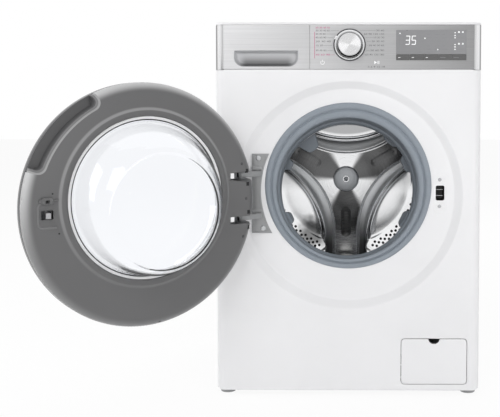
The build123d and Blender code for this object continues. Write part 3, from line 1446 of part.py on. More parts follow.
with BuildPart() as door_hinge_plate:
    door_block((hinge_plate_u, door_radius), (shell_floor - hinge_plate_thick, shell_floor),
               (min(arm_lifts) - hinge_plate_end, max(arm_lifts) + hinge_plate_end))
    for arm_lift in arm_lifts:
        door_block((hinge_u - hinge_eye, door_radius), (shell_floor - hinge_plate_thick, shell_floor),
                   (arm_lift - arm_half - window_gap, arm_lift + arm_half + window_gap), mode=Mode.SUBTRACT)
        for side in (-1, 1):
            near = arm_lift + side * (arm_half + window_gap)
            far = near + side * ear_thick
            door_block((hinge_u - hinge_eye, hinge_u + hinge_eye), (hinge_out - hinge_eye, shell_floor),
                       sorted((near, far)))
        door_rod_up(hinge_u, hinge_out, hinge_pin, (arm_lift - hinge_plate_end, arm_lift + hinge_plate_end))
    door_turned([(0, door_ring_edge), (door_radius - door_wall - window_gap, door_ring_edge),
                 (door_radius - door_wall - window_gap, shell_side),
                 (shell_floor_radius - window_gap, shell_floor), (0, shell_floor)], mode=Mode.INTERSECT)
door_hinge_plate.part.label = "door_hinge_plate"
export_step(door_hinge_plate.part, "parts/door_hinge_plate.step")

with BuildPart() as latch_hook:
    shank_low = latch_lift - latch_height / 2
    shank_high = latch_lift + latch_height / 2
    door_block((latch_u - latch_shank / 2, latch_u + latch_shank / 2),
               (-latch_reach, latch_pivot_out + latch_pin), (shank_low, shank_high))
    door_block((latch_u - latch_shank / 2 - latch_barb, latch_u), (-latch_reach, latch_barb_out),
               (shank_low, shank_high))
    door_rod_up(latch_u, latch_pivot_out, latch_pin,
                (shank_low - window_gap - door_wall, shank_high + window_gap + door_wall))
latch_hook.part.label = "latch_hook"
export_step(latch_hook.part, "parts/latch_hook.step")
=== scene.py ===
"""Dresses a front-loading washer dryer that stands with its door open."""

import logging
import math
from dataclasses import dataclass, field
from enum import Enum
from typing import Any, Callable, Iterable, Sequence

import bmesh
import bpy
from mathutils import Matrix, Vector
from mathutils.geometry import delaunay_2d_cdt


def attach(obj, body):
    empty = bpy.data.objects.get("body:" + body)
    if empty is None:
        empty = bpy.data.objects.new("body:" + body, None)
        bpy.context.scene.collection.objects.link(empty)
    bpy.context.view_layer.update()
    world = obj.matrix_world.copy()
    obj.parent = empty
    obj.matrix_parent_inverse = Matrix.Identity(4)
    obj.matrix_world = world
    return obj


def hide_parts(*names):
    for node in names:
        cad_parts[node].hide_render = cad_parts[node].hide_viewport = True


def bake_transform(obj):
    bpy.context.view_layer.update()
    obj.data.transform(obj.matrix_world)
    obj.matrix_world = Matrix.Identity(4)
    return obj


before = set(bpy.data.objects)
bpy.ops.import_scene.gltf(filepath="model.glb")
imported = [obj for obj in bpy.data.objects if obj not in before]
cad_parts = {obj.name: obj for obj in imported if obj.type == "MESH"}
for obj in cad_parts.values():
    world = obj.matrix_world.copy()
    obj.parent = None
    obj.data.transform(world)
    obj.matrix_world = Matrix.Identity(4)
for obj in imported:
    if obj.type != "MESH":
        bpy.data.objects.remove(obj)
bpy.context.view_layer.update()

LOG = logging.getLogger("washer_dryer")
MM = 0.001
SHARP = math.radians(34)
Point = tuple[float, float]
Point3 = tuple[float, float, float]
Loop = list[Point]
Colour = tuple[float, float, float]
Depth = float | Callable[[float, float], float]

FRONT = -282.5
AXIS_HEIGHT = 460.0
DRUM_AXIS = (0.0, AXIS_HEIGHT)
MOUTH_AXIS = (0.0, 481.0)
DIAL_AXIS = (2.4, 800.0)
DOOR_CENTRE = Vector((-414.6208, -477.2623, AXIS_HEIGHT))
DOOR_IN = Vector((0.5591929, -0.8290376, 0.0))
DOOR_ACROSS = Vector((0.8290376, 0.5591929, 0.0))
GLASS_AXIS = (0.0, 16.0)
RIGHT, BACK, UP = Vector((1, 0, 0)), Vector((0, 1, 0)), Vector((0, 0, 1))


def place_matrix(across: Vector, up: Vector, back: Vector, origin: Vector) -> Matrix:
    """Gives the matrix from millimetres along three directions to metres in the shared frame."""
    axes = Matrix((across, up, back)).transposed().to_4x4()
    return Matrix.Translation(origin * MM) @ axes @ Matrix.Scale(MM, 4)


FACE = place_matrix(RIGHT, UP, BACK, BACK * FRONT)
DOOR = place_matrix(DOOR_ACROSS, UP, -DOOR_IN, DOOR_CENTRE)
LEVEL = place_matrix(RIGHT, BACK, UP, BACK * FRONT)
UPRIGHT = Matrix.Scale(MM, 4) @ Matrix.Rotation(math.pi / 2, 4, "X")
SIDEWAYS = Matrix.Scale(MM, 4) @ Matrix.Rotation(math.pi / 2, 4, "Y")


def operator(operation: str, swapped: bool = False) -> Callable:
    """Gives an operator of Value that adds a Math node.

    Args:
        operation: Name of the node's operation.
        swapped: Whether the other term comes first.

    Returns:
        The method.
    """

    def method(self: "Value", other: Any) -> "Value":
        """Adds the node."""
        return self.maths(operation, *((other, self) if swapped else (self, other)))

    return method


class Value:
    """One output of a node, on which ordinary arithmetic adds Math nodes."""

    __add__ = __radd__ = operator("ADD")
    __mul__ = __rmul__ = operator("MULTIPLY")
    __sub__ = operator("SUBTRACT")
    __rsub__ = operator("SUBTRACT", True)
    __truediv__ = operator("DIVIDE")
    __gt__ = operator("GREATER_THAN")
    __lt__ = operator("LESS_THAN")

    def __init__(self, graph: "Graph", socket: bpy.types.NodeSocket) -> None:
        """Keeps the socket and the graph that it belongs to."""
        self.graph = graph
        self.socket = socket

    def maths(self, operation: str, *terms: Any) -> "Value":
        """Adds a Math node on the given terms, or on this value alone."""
        sockets = dict(enumerate(terms or (self,)))
        return self.graph.node("ShaderNodeMath", {"operation": operation}, sockets)[0]

    def between(self, low: float, high: float, start: float = 0.0, end: float = 1.0) -> "Value":
        """Spreads this value smoothly and clamped, from low and high to start and end."""
        span = {"Value": self, "From Min": low, "From Max": high, "To Min": start, "To Max": end}
        return self.graph.node("ShaderNodeMapRange", {"interpolation_type": "SMOOTHSTEP"}, span)[0]


class Node:
    """A node whose outputs are read by name or number."""

    def __init__(self, graph: "Graph", made: bpy.types.Node) -> None:
        """Keeps the node."""
        self.graph = graph
        self.made = made

    def __getitem__(self, key: int | str) -> Value:
        """Gives an output as a value."""
        return Value(self.graph, self.made.outputs[key])


class Graph:
    """Adds nodes to one tree."""

    def __init__(self, tree: bpy.types.NodeTree) -> None:
        """Keeps the tree."""
        self.tree = tree

    @classmethod
    def of(cls, owner: bpy.types.Material | bpy.types.World) -> "Graph":
        """Gives a material or a world an empty tree."""
        owner.use_nodes = True
        owner.node_tree.nodes.clear()
        return cls(owner.node_tree)

    def node(self, kind: str, settings: dict | None = None, sockets: dict | None = None) -> Node:
        """Adds any node: its settings first, then the values or links of its sockets.

        Args:
            kind: Blender's name for the node type.
            settings: Properties of the node.
            sockets: Numbers, vectors or values by the input's name or number.

        Returns:
            The new node.
        """
        made = self.tree.nodes.new(kind)
        for name, setting in (settings or {}).items():
            setattr(made, name, setting)
        for key, value in (sockets or {}).items():
            if isinstance(value, Value):
                self.tree.links.new(value.socket, made.inputs[key])
            else:
                made.inputs[key].default_value = value
        return Node(self, made)

    def vector(self, operation: str, first: Any, second: Any = (0, 0, 0)) -> Node:
        """Adds a Vector Math node on one or two vectors."""
        return self.node("ShaderNodeVectorMath", {"operation": operation}, {0: first, 1: second})

    def mix(self, share: Any, first: Any, second: Any, blend: str = "MIX") -> Value:
        """Mixes two colours.

        Args:
            share: Share of the second colour.
            first: A colour or value.
            second: A colour or value.
            blend: Blend type of the Mix node.

        Returns:
            The mixed colour.
        """
        sockets = {0: share}
        for key, shade in ((6, first), (7, second)):
            sockets[key] = shade if isinstance(shade, Value) else (*shade, 1.0)
        return self.node("ShaderNodeMix", {"data_type": "RGBA", "blend_type": blend}, sockets)[2]

    def place(self, scale: Sequence[float] = (1, 1, 1), move: Sequence[float] = (0, 0, 0)) -> Value:
        """Object coordinates after a move in metres and a stretch."""
        moved = self.vector("ADD", self.node("ShaderNodeTexCoord")["Object"], move)[0]
        return self.vector("MULTIPLY", moved, scale)[0]

    def about(self, axis: Point = (0.0, 0.0)) -> Node:
        """X, Y and Z in metres, counted from an axis from front to back that is given in millimetres."""
        where = self.place((1, 1, 1), (-axis[0] * MM, 0, -axis[1] * MM))
        return self.node("ShaderNodeSeparateXYZ", None, {0: where})

    def reach(self, axis: Point) -> Value:
        """Distance in metres from an axis from front to back that is given in millimetres."""
        return self.vector("LENGTH", self.place((1, 0, 1), (-axis[0] * MM, 0, -axis[1] * MM)))["Value"]

    def angle(self, axis: Point) -> Value:
        """Angle in radians round an axis from front to back."""
        parts = self.about(axis)
        return parts["Z"].maths("ARCTAN2", parts["Z"], parts["X"])

    def noise(self, where: Value, scale: float, detail: float = 3.0, roughness: float = 0.5) -> Value:
        """Noise from 0 to 1, of so many waves per metre and finer layers."""
        sockets = {"Vector": where, "Scale": scale, "Detail": detail, "Roughness": roughness}
        return self.node("ShaderNodeTexNoise", None, sockets)[0]

    def bump(self, height: Value, distance: float, strength: float = 1.0) -> Value:
        """The normal bent by a relief from 0 to 1 that is so many metres deep."""
        sockets = {"Height": height, "Distance": distance, "Strength": strength}
        return self.node("ShaderNodeBump", None, sockets)["Normal"]


@dataclass(frozen=True)
class Finish:
    """A plain painted or moulded surface with fine grain.

    Attributes:
        name: The material's name.
        slot: The record's material slot.
        colour: Base colour.
        roughness: Mean roughness.
        metallic: Share of metal.
        grain: Waves per metre of the grain.
        relief: Depth of the grain in metres.
        fixed: Further sockets with one value all over.
    """

    name: str
    slot: str
    colour: Colour
    roughness: float = 0.45
    metallic: float = 0.0
    grain: float = 900.0
    relief: float = 0.00004
    fixed: dict = field(default_factory=dict, hash=False)

    def material(self) -> bpy.types.Material:
        """Makes the material once and gives it afterwards."""
        known = bpy.data.materials.get(self.name)
        if known:
            return known
        made = bpy.data.materials.new(self.name)
        graph = Graph.of(made)
        sockets = {"Metallic": self.metallic, **self.fixed, **self.surface(graph)}
        # Painted light and shade, where a finish has it, multiplies the base colour.
        light = self.light(graph)
        if light:
            sockets["Base Color"] = graph.mix(1.0, sockets["Base Color"], light, "MULTIPLY")
        shader = graph.node("ShaderNodeBsdfPrincipled", None, sockets)[0]
        graph.node("ShaderNodeOutputMaterial", None, {"Surface": shader})
        made.diffuse_color = (*self.colour, 1.0)
        return made

    def shade(self, share: float) -> Colour:
        """The base colour made lighter or darker."""
        return tuple(min(1.0, part * share) for part in self.colour)

    def rough(self, over: Value, low: float, less: float, more: float) -> Value:
        """Roughness between two shares of its mean, over a value from low to 1 - low."""
        return over.between(low, 1.0 - low, self.roughness * less, self.roughness * more)

    def light(self, graph: Graph) -> Value | None:
        """Painted light and shade: the share of the base colour that is left, where a finish varies it."""
        return None

    def surface(self, graph: Graph) -> dict:
        """Gives the sockets that vary over the surface."""
        where = graph.place()
        cloud = graph.noise(where, 9.0)
        grain = graph.noise(where, self.grain, 2.0)
        return {
            "Base Color": graph.mix(cloud, self.shade(0.965), self.shade(1.03)),
            "Roughness": self.rough(cloud, 0.2, 0.9, 1.1),
            "Normal": graph.bump(grain, self.relief),
        }


@dataclass(frozen=True)
class Galvanised(Finish):
    """Zinc-coated sheet with its flowery crystals."""

    def surface(self, graph: Graph) -> dict:
        """Gives the sockets that vary over the surface."""
        where = graph.place()
        bent = graph.noise(where, 60.0, 4.0)
        cells = graph.node("ShaderNodeTexVoronoi", {"feature": "F1"}, {"Vector": where, "Scale": 70.0})
        flake = graph.node("ShaderNodeSeparateColor", None, {0: cells["Color"]})[0]
        mixed = flake * 0.7 + bent * 0.3
        return {
            "Base Color": graph.mix(mixed, self.shade(0.82), self.shade(1.08)),
            "Roughness": self.rough(mixed, 0.1, 0.75, 1.25),
            "Normal": graph.bump(bent, 0.0001, 0.5),
        }


@dataclass(frozen=True)
class Brushed(Finish):
    """Metal or film brushed along one axis, with painted shade that darkens it towards one side in place of
    its reflection.

    Attributes:
        along: Stretch of the brush lines on each axis; the smallest is their direction.
        painted_shade_from: X where the painted shade starts and the tone is full, in metres.
        dark_to: X where the painted shade is darkest, in metres.
        painted_shade_share: Tone left where the painted shade is darkest.
    """

    along: Sequence[float] = (6.0, 700.0, 900.0)
    painted_shade_from: float = 0.0
    dark_to: float = 0.0
    painted_shade_share: float = 1.0

    def surface(self, graph: Graph) -> dict:
        """Gives the sockets that vary over the surface."""
        lines = graph.noise(graph.place(self.along), 1.0, 3.0, 0.6)
        fine = graph.noise(graph.place([part * 2.3 for part in self.along]), 1.0, 2.0)
        tone = graph.mix(lines.between(0.25, 0.75), self.shade(0.93), self.shade(1.05))
        # Painted shade: the tone darkens along X, standing in for the brushed film's reflection.
        if self.painted_shade_share < 1.0:
            share = (graph.about()["X"] - self.painted_shade_from) / (self.dark_to - self.painted_shade_from)
            tone = graph.mix(share, tone, (self.painted_shade_share,) * 3, "MULTIPLY")
        return {
            "Base Color": tone,
            "Roughness": self.rough(lines, 0.2, 0.8, 1.2),
            "Normal": graph.bump(fine, self.relief),
        }


@dataclass(frozen=True)
class HighlightBandedFilm(Brushed):
    """Brushed film on an upright end piece, with a painted highlight band between edges darkened by painted
    shade.
    """

    def light(self, graph: Graph) -> Value:
        """Share of the base colour that is left: the painted highlight band and the painted shade at its
        edges.
        """
        aside = graph.about()["X"].maths("ABSOLUTE")
        return aside.between(0.2835, 0.2905, 0.72, 1.0) * aside.between(0.2975, 0.2935, 0.25, 1.0)


@dataclass(frozen=True)
class DoorGrey(Finish):
    """The door's grey moulding, with painted highlights on its rounded rim, strongest towards the upper left,
    and on the step beside the glass.
    """

    def surface(self, graph: Graph) -> dict:
        """Gives the sockets that vary over the surface."""
        sockets = super().surface(graph)
        where = graph.place((1, 1, 1), tuple(-DOOR_CENTRE * MM))
        across, up = (graph.vector("DOT_PRODUCT", where, way)["Value"] for way in (DOOR_ACROSS, UP))
        # Painted highlight: the rounded rim and the step by the glass are made paler, more towards the upper
        # left, where light falls.
        rim = (across * across + up * up).maths("SQRT").between(0.236, 0.2525)
        lift = up - GLASS_AXIS[1] * MM
        reach = (across * across + lift * lift).maths("SQRT")
        step = reach.between(0.1885, 0.1845) * reach.between(0.1795, 0.182)
        side = (lift - across * 0.3).between(-0.24, 0.24)
        painted_sheen = rim * side.between(0.35, 1.0, 0.22, 1.0) + step * side.between(0.0, 1.0, 0.08, 0.36)
        return {**sockets, "Base Color": graph.mix(painted_sheen, sockets["Base Color"], (0.55, 0.55, 0.555))}


@dataclass(frozen=True)
class ShadedScoop(Finish):
    """The finger pocket's film, with painted shade that darkens it towards the bottom and painted highlights
    at its ends.
    """

    def light(self, graph: Graph) -> Value:
        """Share of the base colour that is left: painted shade below and painted highlight at the ends."""
        parts = graph.about((-185.0, 0.0))
        ends = parts["X"].maths("ABSOLUTE").between(0.045, 0.068) * 0.8
        return parts["Z"].between(0.7555, 0.7845, 0.24, 1.0) * (1.0 - ends) + ends


@dataclass(frozen=True)
class Spun(Finish):
    """Metal with fine marks round an axis that runs from front to back.

    Attributes:
        axis: X and height of the axis.
        sheen_wedges: Number of painted highlight wedges round it, standing in for the spun finish's
            reflection.
        sheen_wedge_dark: Tone of the painted shade between the wedges.
        sheen_wedge_turn: Angle of the first wedge in radians.
    """

    axis: Point = DRUM_AXIS
    sheen_wedges: int = 0
    sheen_wedge_dark: float = 1.0
    sheen_wedge_turn: float = 0.0

    def surface(self, graph: Graph) -> dict:
        """Gives the sockets that vary over the surface."""
        angle = graph.angle(self.axis)
        spots = {0: graph.reach(self.axis) * 900.0, 1: angle * 2.0, 2: graph.about()["Y"] * 300.0}
        marks = graph.noise(graph.node("ShaderNodeCombineXYZ", None, spots)[0], 1.0, 3.0, 0.6)
        tone = graph.mix(marks, self.shade(0.94), self.shade(1.05))
        # Painted highlight wedges, with painted shade between them, stand in for the spun finish's
        # reflection.
        if self.sheen_wedges:
            wave = ((angle + self.sheen_wedge_turn) * float(self.sheen_wedges)).maths("COSINE")
            dark = graph.mix(1.0, tone, (self.sheen_wedge_dark,) * 3, "MULTIPLY")
            tone = graph.mix(wave.between(-0.2, 1.0), dark, tone)
        return {
            "Base Color": tone,
            "Roughness": self.rough(marks, 0.2, 0.75, 1.25),
            "Normal": graph.bump(marks, self.relief),
        }


@dataclass(frozen=True)
class ShadedUnderside(Spun):
    """Polished metal with painted shade and painted dark reflection on its lower half."""

    def light(self, graph: Graph) -> Value:
        """Share of the base colour that is left: painted shade on the lower half."""
        return graph.about(self.axis)["Z"].between(-0.012, 0.012, 0.02, 0.75)

    def surface(self, graph: Graph) -> dict:
        """Gives the sockets that vary over the surface."""
        up = graph.about(self.axis)["Z"]
        return {
            **super().surface(graph),
            "Metallic": up.between(-0.012, 0.0, 0.0, 0.8),
            "Specular IOR Level": up.between(-0.012, 0.0, 0.0, 0.5),
        }


@dataclass(frozen=True)
class ReflectionStar(Spun):
    """The star's polished steel, with painted reflection: bright towards the hollows, dark along the arms,
    lighter on the lowest arm.
    """

    def light(self, graph: Graph) -> Value:
        """Share of the base colour that is left: the painted reflection along the arms, with streaks."""
        arm_reflection_lobe = ((graph.angle(DRUM_AXIS) - math.radians(90.0)) * 3.0).maths("COSINE")
        reflection_streaks = graph.noise(graph.place((11.0, 11.0, 9.0)), 1.0, 1.0).between(0.35, 0.7, 0.05, 0.16)
        arm = reflection_streaks + graph.about(DRUM_AXIS)["Z"].between(-0.12, -0.175, 0.0, 0.5)
        return arm_reflection_lobe.between(-0.4, 0.4) * (1.0 - arm) + arm


@dataclass(frozen=True)
class ShadedSatin(Spun):
    """The satin strips beside the hollows, with painted shade that darkens them at the top and at their lower
    ends.
    """

    def light(self, graph: Graph) -> Value:
        """Share of the base colour that is left: the painted shade at the top and the lower ends."""
        up = graph.about(DRUM_AXIS)["Z"]
        return up.between(-0.19, -0.07, 0.16, 1.0) * up.between(0.03, 0.09, 1.0, 0.5)


@dataclass(frozen=True)
class ReflectionHollow(Spun):
    """The hollows' bright steel, with painted reflection: greyer above the middle, and a dark patch where it
    mirrors the seal.
    """

    def light(self, graph: Graph) -> Value:
        """Share of the base colour that is left: painted shade at the arc, the painted reflection of the
        seal, and greyer above the middle.
        """
        arc = graph.reach((0.0, AXIS_HEIGHT + 353.0)).between(0.229, 0.236, 0.5, 1.0)
        reflection_streaks = graph.noise(graph.place((22.0, 22.0, 22.0)), 1.0, 2.0).between(0.3, 0.7, -0.014, 0.014)
        seal_reflection = (graph.reach((-89.0, 318.0)) + reflection_streaks).between(0.012, 0.056, 0.25, 1.0)
        up = graph.about(DRUM_AXIS)["Z"]
        return arc * seal_reflection * (1.0 - up.between(-0.04, 0.0) * up.between(0.08, 0.05) * 0.35)


@dataclass(frozen=True)
class Cast(Finish):
    """A coarse cast surface: aluminium, concrete or moulded rubber.

    Attributes:
        pits: Waves per metre of the coarse relief.
        depth: Depth of the coarse relief in metres.
        speckle: Share of lighter and darker spots.
    """

    pits: float = 220.0
    depth: float = 0.0004
    speckle: float = 0.12

    def surface(self, graph: Graph) -> dict:
        """Gives the sockets that vary over the surface."""
        where = graph.place()
        coarse = graph.noise(where, self.pits, 4.0, 0.6)
        mixed = coarse * 0.6 + graph.noise(where, 14.0, 3.0) * 0.4
        spread = mixed.between(0.3, 0.7)
        return {
            "Base Color": graph.mix(spread, self.shade(1.0 - self.speckle), self.shade(1.0 + self.speckle)),
            "Roughness": self.rough(mixed, 0.3, 0.9, 1.15),
            "Normal": graph.bump(coarse, self.depth, 0.6),
        }


@dataclass(frozen=True)
class FoldShadedCast(Cast):
    """The seal's rubber, with painted shade inside the fold of its mouth."""

    def light(self, graph: Graph) -> Value:
        """Share of the base colour that is left: the painted shade in the fold."""
        return graph.reach((0.0, 479.0)).between(0.1565, 0.1585, 0.62, 1.0)


@dataclass(frozen=True)
class Winding(Finish):
    """Enamelled copper wire wound on teeth round the drum's axis."""

    def surface(self, graph: Graph) -> dict:
        """Gives the sockets that vary over the surface."""
        where = graph.place((1, 1, 1), (0, 0, -AXIS_HEIGHT * MM))
        wires = (graph.vector("LENGTH", where)["Value"] * 5200.0).maths("SINE").between(-1.0, 1.0)
        varied = graph.noise(where, 120.0, 3.0)
        return {
            "Base Color": graph.mix(wires * 0.7 + varied * 0.3, self.shade(0.55), self.shade(1.15)),
            "Roughness": self.rough(varied, 0.2, 0.8, 1.2),
            "Normal": graph.bump(wires, 0.0005, 0.8),
        }


@dataclass(frozen=True)
class Clear(Finish):
    """Clear glass or acrylic with a faint unevenness."""

    def surface(self, graph: Graph) -> dict:
        """Gives the sockets that vary over the surface."""
        wave = graph.noise(graph.place(), 6.0, 2.0)
        return {
            "Base Color": graph.mix(wave, self.shade(0.995), self.shade(1.0)),
            "Roughness": wave.between(0.0, 1.0, self.roughness, self.roughness + 0.01),
            "Normal": graph.bump(wave, 0.0003, 0.4),
        }


ENAMEL = Finish("white_enamel", "white_steel", (0.835, 0.835, 0.847), 0.34, 0.0, 260.0, 0.00003,
                {"Coat Weight": 0.25, "Coat Roughness": 0.12})
LID_WHITE = Finish("lid_white", "white_plastic", (0.82, 0.82, 0.83), 0.38, 0.0, 500.0, 0.00003)
WHITE_PLASTIC = Finish("white_moulding", "white_plastic", (0.80, 0.80, 0.81), 0.42)
ZINC = Galvanised("zinc_sheet", "zinc_steel", (0.50, 0.51, 0.53), 0.42, 0.85)
BRACKET_GREY = Finish("bracket_grey", "zinc_steel", (0.34, 0.345, 0.35), 0.4, 0.3, 600.0, 0.00004)
ZINC_DARK = Galvanised("zinc_bracket", "zinc_steel", (0.30, 0.31, 0.32), 0.46, 0.8)
# SILVER_FILM darkens towards the right with painted shade; CAP_FILM carries a painted highlight band.
SILVER_FILM = Brushed("brushed_silver", "silver_plastic", (0.78, 0.78, 0.79), 0.42, 0.5, 0, 0.00003, {},
                      (4.0, 500.0, 420.0), -0.30, 0.28, 0.40)
CAP_FILM = HighlightBandedFilm("end_cap_silver", "silver_plastic", (0.86, 0.86, 0.87), 0.3, 0.85, 0, 0.00002, {},
                  (900.0, 900.0, 6.0))
POCKET_GREY = ShadedScoop("pocket_grey", "silver_plastic", (0.62, 0.625, 0.64), 0.35, 0.3)
RING_STEEL = Spun("dial_ring_steel", "chrome", (0.90, 0.905, 0.915), 0.25, 0.8, 0, 0.00001, {}, DIAL_AXIS)
# Near-black steel on the dial ring's outer slope: painted dark reflection.
RING_DARK_REFLECTION = Spun("dial_ring_dark", "chrome", (0.085, 0.087, 0.092), 0.3, 0.6, 0, 0.00001, {}, DIAL_AXIS)
DIAL_FACE = Spun("dial_spun", "silver_plastic", (0.93, 0.93, 0.94), 0.25, 0.85, 0, 0.00002, {},
                 DIAL_AXIS, 2, 0.76, -0.35)
DIAL_SIDE = ShadedUnderside("dial_side", "silver_plastic", (0.80, 0.80, 0.81), 0.3, 0.8, 0, 0.00002, {}, DIAL_AXIS)
CHROME_DARK = Finish("dark_chrome", "chrome", (0.12, 0.12, 0.125), 0.16, 1.0, 120.0, 0.00001)
CHROME_BRIGHT = Finish("bright_chrome", "chrome", (0.90, 0.905, 0.915), 0.12, 1.0, 120.0, 0.00001)
SCREEN = Finish("screen_film", "display_glass", (0.275, 0.276, 0.284), 0.3, 0.4, 300.0, 0.00001,
                {"Coat Weight": 0.1, "Coat Roughness": 0.05})
KEY_STRIP = Finish("key_strip", "display_glass", (0.115, 0.115, 0.115), 0.3, 0.2, 300.0, 0.00001)
MARK_WHITE = Finish("mark_white", "display_glass", (0.92, 0.92, 0.93), 0.4, 0.0, 900.0, 0.00001,
                    {"Emission Color": (1.0, 1.0, 1.0, 1.0), "Emission Strength": 0.12})
MARK_DIM = Finish("mark_dim", "display_glass", (0.25, 0.25, 0.26), 0.4, 0.1, 900.0, 0.00001)
MARK_GREY = Finish("mark_grey", "silver_plastic", (0.13, 0.13, 0.135), 0.45, 0.0, 900.0, 0.00001)
MARK_MAGENTA = Finish("mark_magenta", "silver_plastic", (0.52, 0.07, 0.22), 0.45, 0.0, 900.0, 0.00001)
RING_GREY = DoorGrey("door_grey", "grey_plastic", (0.122, 0.122, 0.124), 0.3, 0.0, 700.0, 0.00004)
# Greys of the door moulding: the grip grey is painted shade in the pocket and slots; the lip and edge greys
# are painted highlights on the lip, the latch ridge and the rounded edge.
GRIP_SHADE_GREY = Finish("grip_grey", "grey_plastic", (0.078, 0.078, 0.080), 0.4, 0.0, 700.0, 0.00005)
LIP_HIGHLIGHT_GREY = Finish("lip_grey", "grey_plastic", (0.17, 0.17, 0.173), 0.3, 0.0, 700.0, 0.00004)
EDGE_HIGHLIGHT_GREY = Finish("edge_grey", "grey_plastic", (0.32, 0.32, 0.323), 0.3, 0.0, 700.0, 0.00004)
HOOK_GREY = Finish("hook_grey", "grey_plastic", (0.42, 0.42, 0.43), 0.35, 0.5, 500.0, 0.00003)
# Black for holes and slits: painted shade where the surface is not cut through.
HOLE_SHADE_BLACK = Finish("hole_black", "dark_plastic", (0.008, 0.008, 0.009), 0.6)
LOCK_BLACK = Finish("lock_black", "dark_plastic", (0.012, 0.012, 0.013), 0.35)
GREY_PLASTIC = Finish("grey_moulding", "grey_plastic", (0.16, 0.165, 0.17), 0.5, 0.0, 600.0, 0.00006)
HOUSING = Finish("housing_moulding", "housing_plastic", (0.62, 0.62, 0.61), 0.5, 0.0, 600.0, 0.00006)
TUB = Cast("tub_moulding", "tub_plastic", (0.32, 0.33, 0.34), 0.55, 0.0, 0, 0, {}, 500.0, 0.00015, 0.07)
BLUE_PLASTIC = Finish("valve_blue", "water_blue", (0.03, 0.09, 0.36), 0.45)
DARK_PLASTIC = Finish("dark_moulding", "dark_plastic", (0.03, 0.03, 0.034), 0.35)
FOOT_GREY = Spun("foot_grey", "dark_plastic", (0.34, 0.345, 0.35), 0.35, 0.5, 0, 0.00003)
STAR_STEEL = ReflectionStar("drum_polished", "polished_steel", (0.90, 0.905, 0.915), 0.24, 1.0, 0, 0.00001)
FLOOR_STEEL = ReflectionHollow("drum_hollow", "polished_steel", (0.90, 0.905, 0.915), 0.16, 1.0, 0, 0.00001)
BAND_STEEL = ShadedSatin("drum_satin", "polished_steel", (0.66, 0.675, 0.69), 0.36, 0.95, 0, 0.00002)
EDGE_STEEL = Spun("drum_edges", "polished_steel", (0.94, 0.945, 0.955), 0.2, 0.9, 0, 0.00001)
# Near-black steel for the lowest dimple: painted dark reflection.
DIMPLE_DARK_REFLECTION = Spun("drum_dimple", "polished_steel", (0.10, 0.10, 0.10), 0.3, 1.0, 0, 0.00001)
LIFTER_STEEL = Spun("drum_lifter", "polished_steel", (0.86, 0.85, 0.82), 0.25, 1.0, 0, 0.00002)
SHELL_STEEL = Spun("drum_wall", "polished_steel", (0.66, 0.67, 0.685), 0.16, 1.0, 0, 0.00002)
HUB_STEEL = Finish("hub_satin", "polished_steel", (0.64, 0.66, 0.685), 0.45, 0.95, 500.0, 0.00003)
MACHINED = Spun("machined_steel", "steel", (0.48, 0.49, 0.50), 0.28, 1.0, 0, 0.00003)
SCREW_STEEL = Finish("screw_steel", "steel", (0.55, 0.56, 0.57), 0.25, 1.0, 400.0, 0.00002)
ALUMINIUM = Cast("cast_aluminium", "aluminium", (0.52, 0.53, 0.54), 0.42, 0.9, 0, 0, {}, 600.0, 0.00015, 0.08)
COPPER = Winding("copper_winding", "copper", (0.58, 0.22, 0.08), 0.35, 0.8)
CONCRETE = Cast("cast_concrete", "concrete", (0.33, 0.32, 0.30), 0.85, 0.0, 0, 0, {}, 160.0, 0.0012, 0.25)
SEAL = FoldShadedCast("seal_rubber", "rubber", (0.258, 0.29, 0.328), 0.42, 0.0, 0, 0, {}, 350.0, 0.00008, 0.05)
BLACK_RUBBER = Cast("black_rubber", "black_rubber", (0.016, 0.016, 0.017), 0.6, 0.0, 0, 0, {},
                    400.0, 0.0001, 0.1)
GLASS = Clear("door_glass", "glass", (0.97, 0.98, 1.0), 0.0, 0.0, 0, 0,
              {"Transmission Weight": 1.0, "IOR": 1.48})
WINDOW = Clear("door_cover", "window_plastic", (0.985, 0.99, 1.0), 0.0, 0.0, 0, 0,
               {"Transmission Weight": 1.0, "IOR": 1.1})


def circle(radius: float, centre: Point = (0.0, 0.0), count: int = 96, start: float = 0.0) -> Loop:
    """Gives points round a circle.

    Args:
        radius: Radius in millimetres.
        centre: Centre.
        count: Number of points.
        start: Angle of the first point in degrees.

    Returns:
        The closed loop, anticlockwise.
    """
    turns = [math.radians(start) + math.tau * step / count for step in range(count)]
    return [(centre[0] + radius * math.cos(turn), centre[1] + radius * math.sin(turn)) for turn in turns]


def rounded(
    width: float, height: float, corners: float | Sequence[float], centre: Point = (0.0, 0.0), steps: int = 6
) -> Loop:
    """Gives a rectangle with rounded corners.

    Args:
        width: Full width.
        height: Full height.
        corners: One radius, or four from the lower left, anticlockwise.
        centre: Centre.
        steps: Spans in each corner.

    Returns:
        The closed loop, anticlockwise.
    """
    radii = [corners] * 4 if isinstance(corners, (int, float)) else list(corners)
    signs = ((-1, -1), (1, -1), (1, 1), (-1, 1))
    loop = []
    for turn, ((side, level), radius) in enumerate(zip(signs, radii)):
        middle = (centre[0] + side * (width / 2 - radius), centre[1] + level * (height / 2 - radius))
        for step in range(steps + 1):
            angle = math.pi * (1 + turn / 2) + math.pi / 2 * step / steps
            loop.append((middle[0] + radius * math.cos(angle), middle[1] + radius * math.sin(angle)))
    return loop


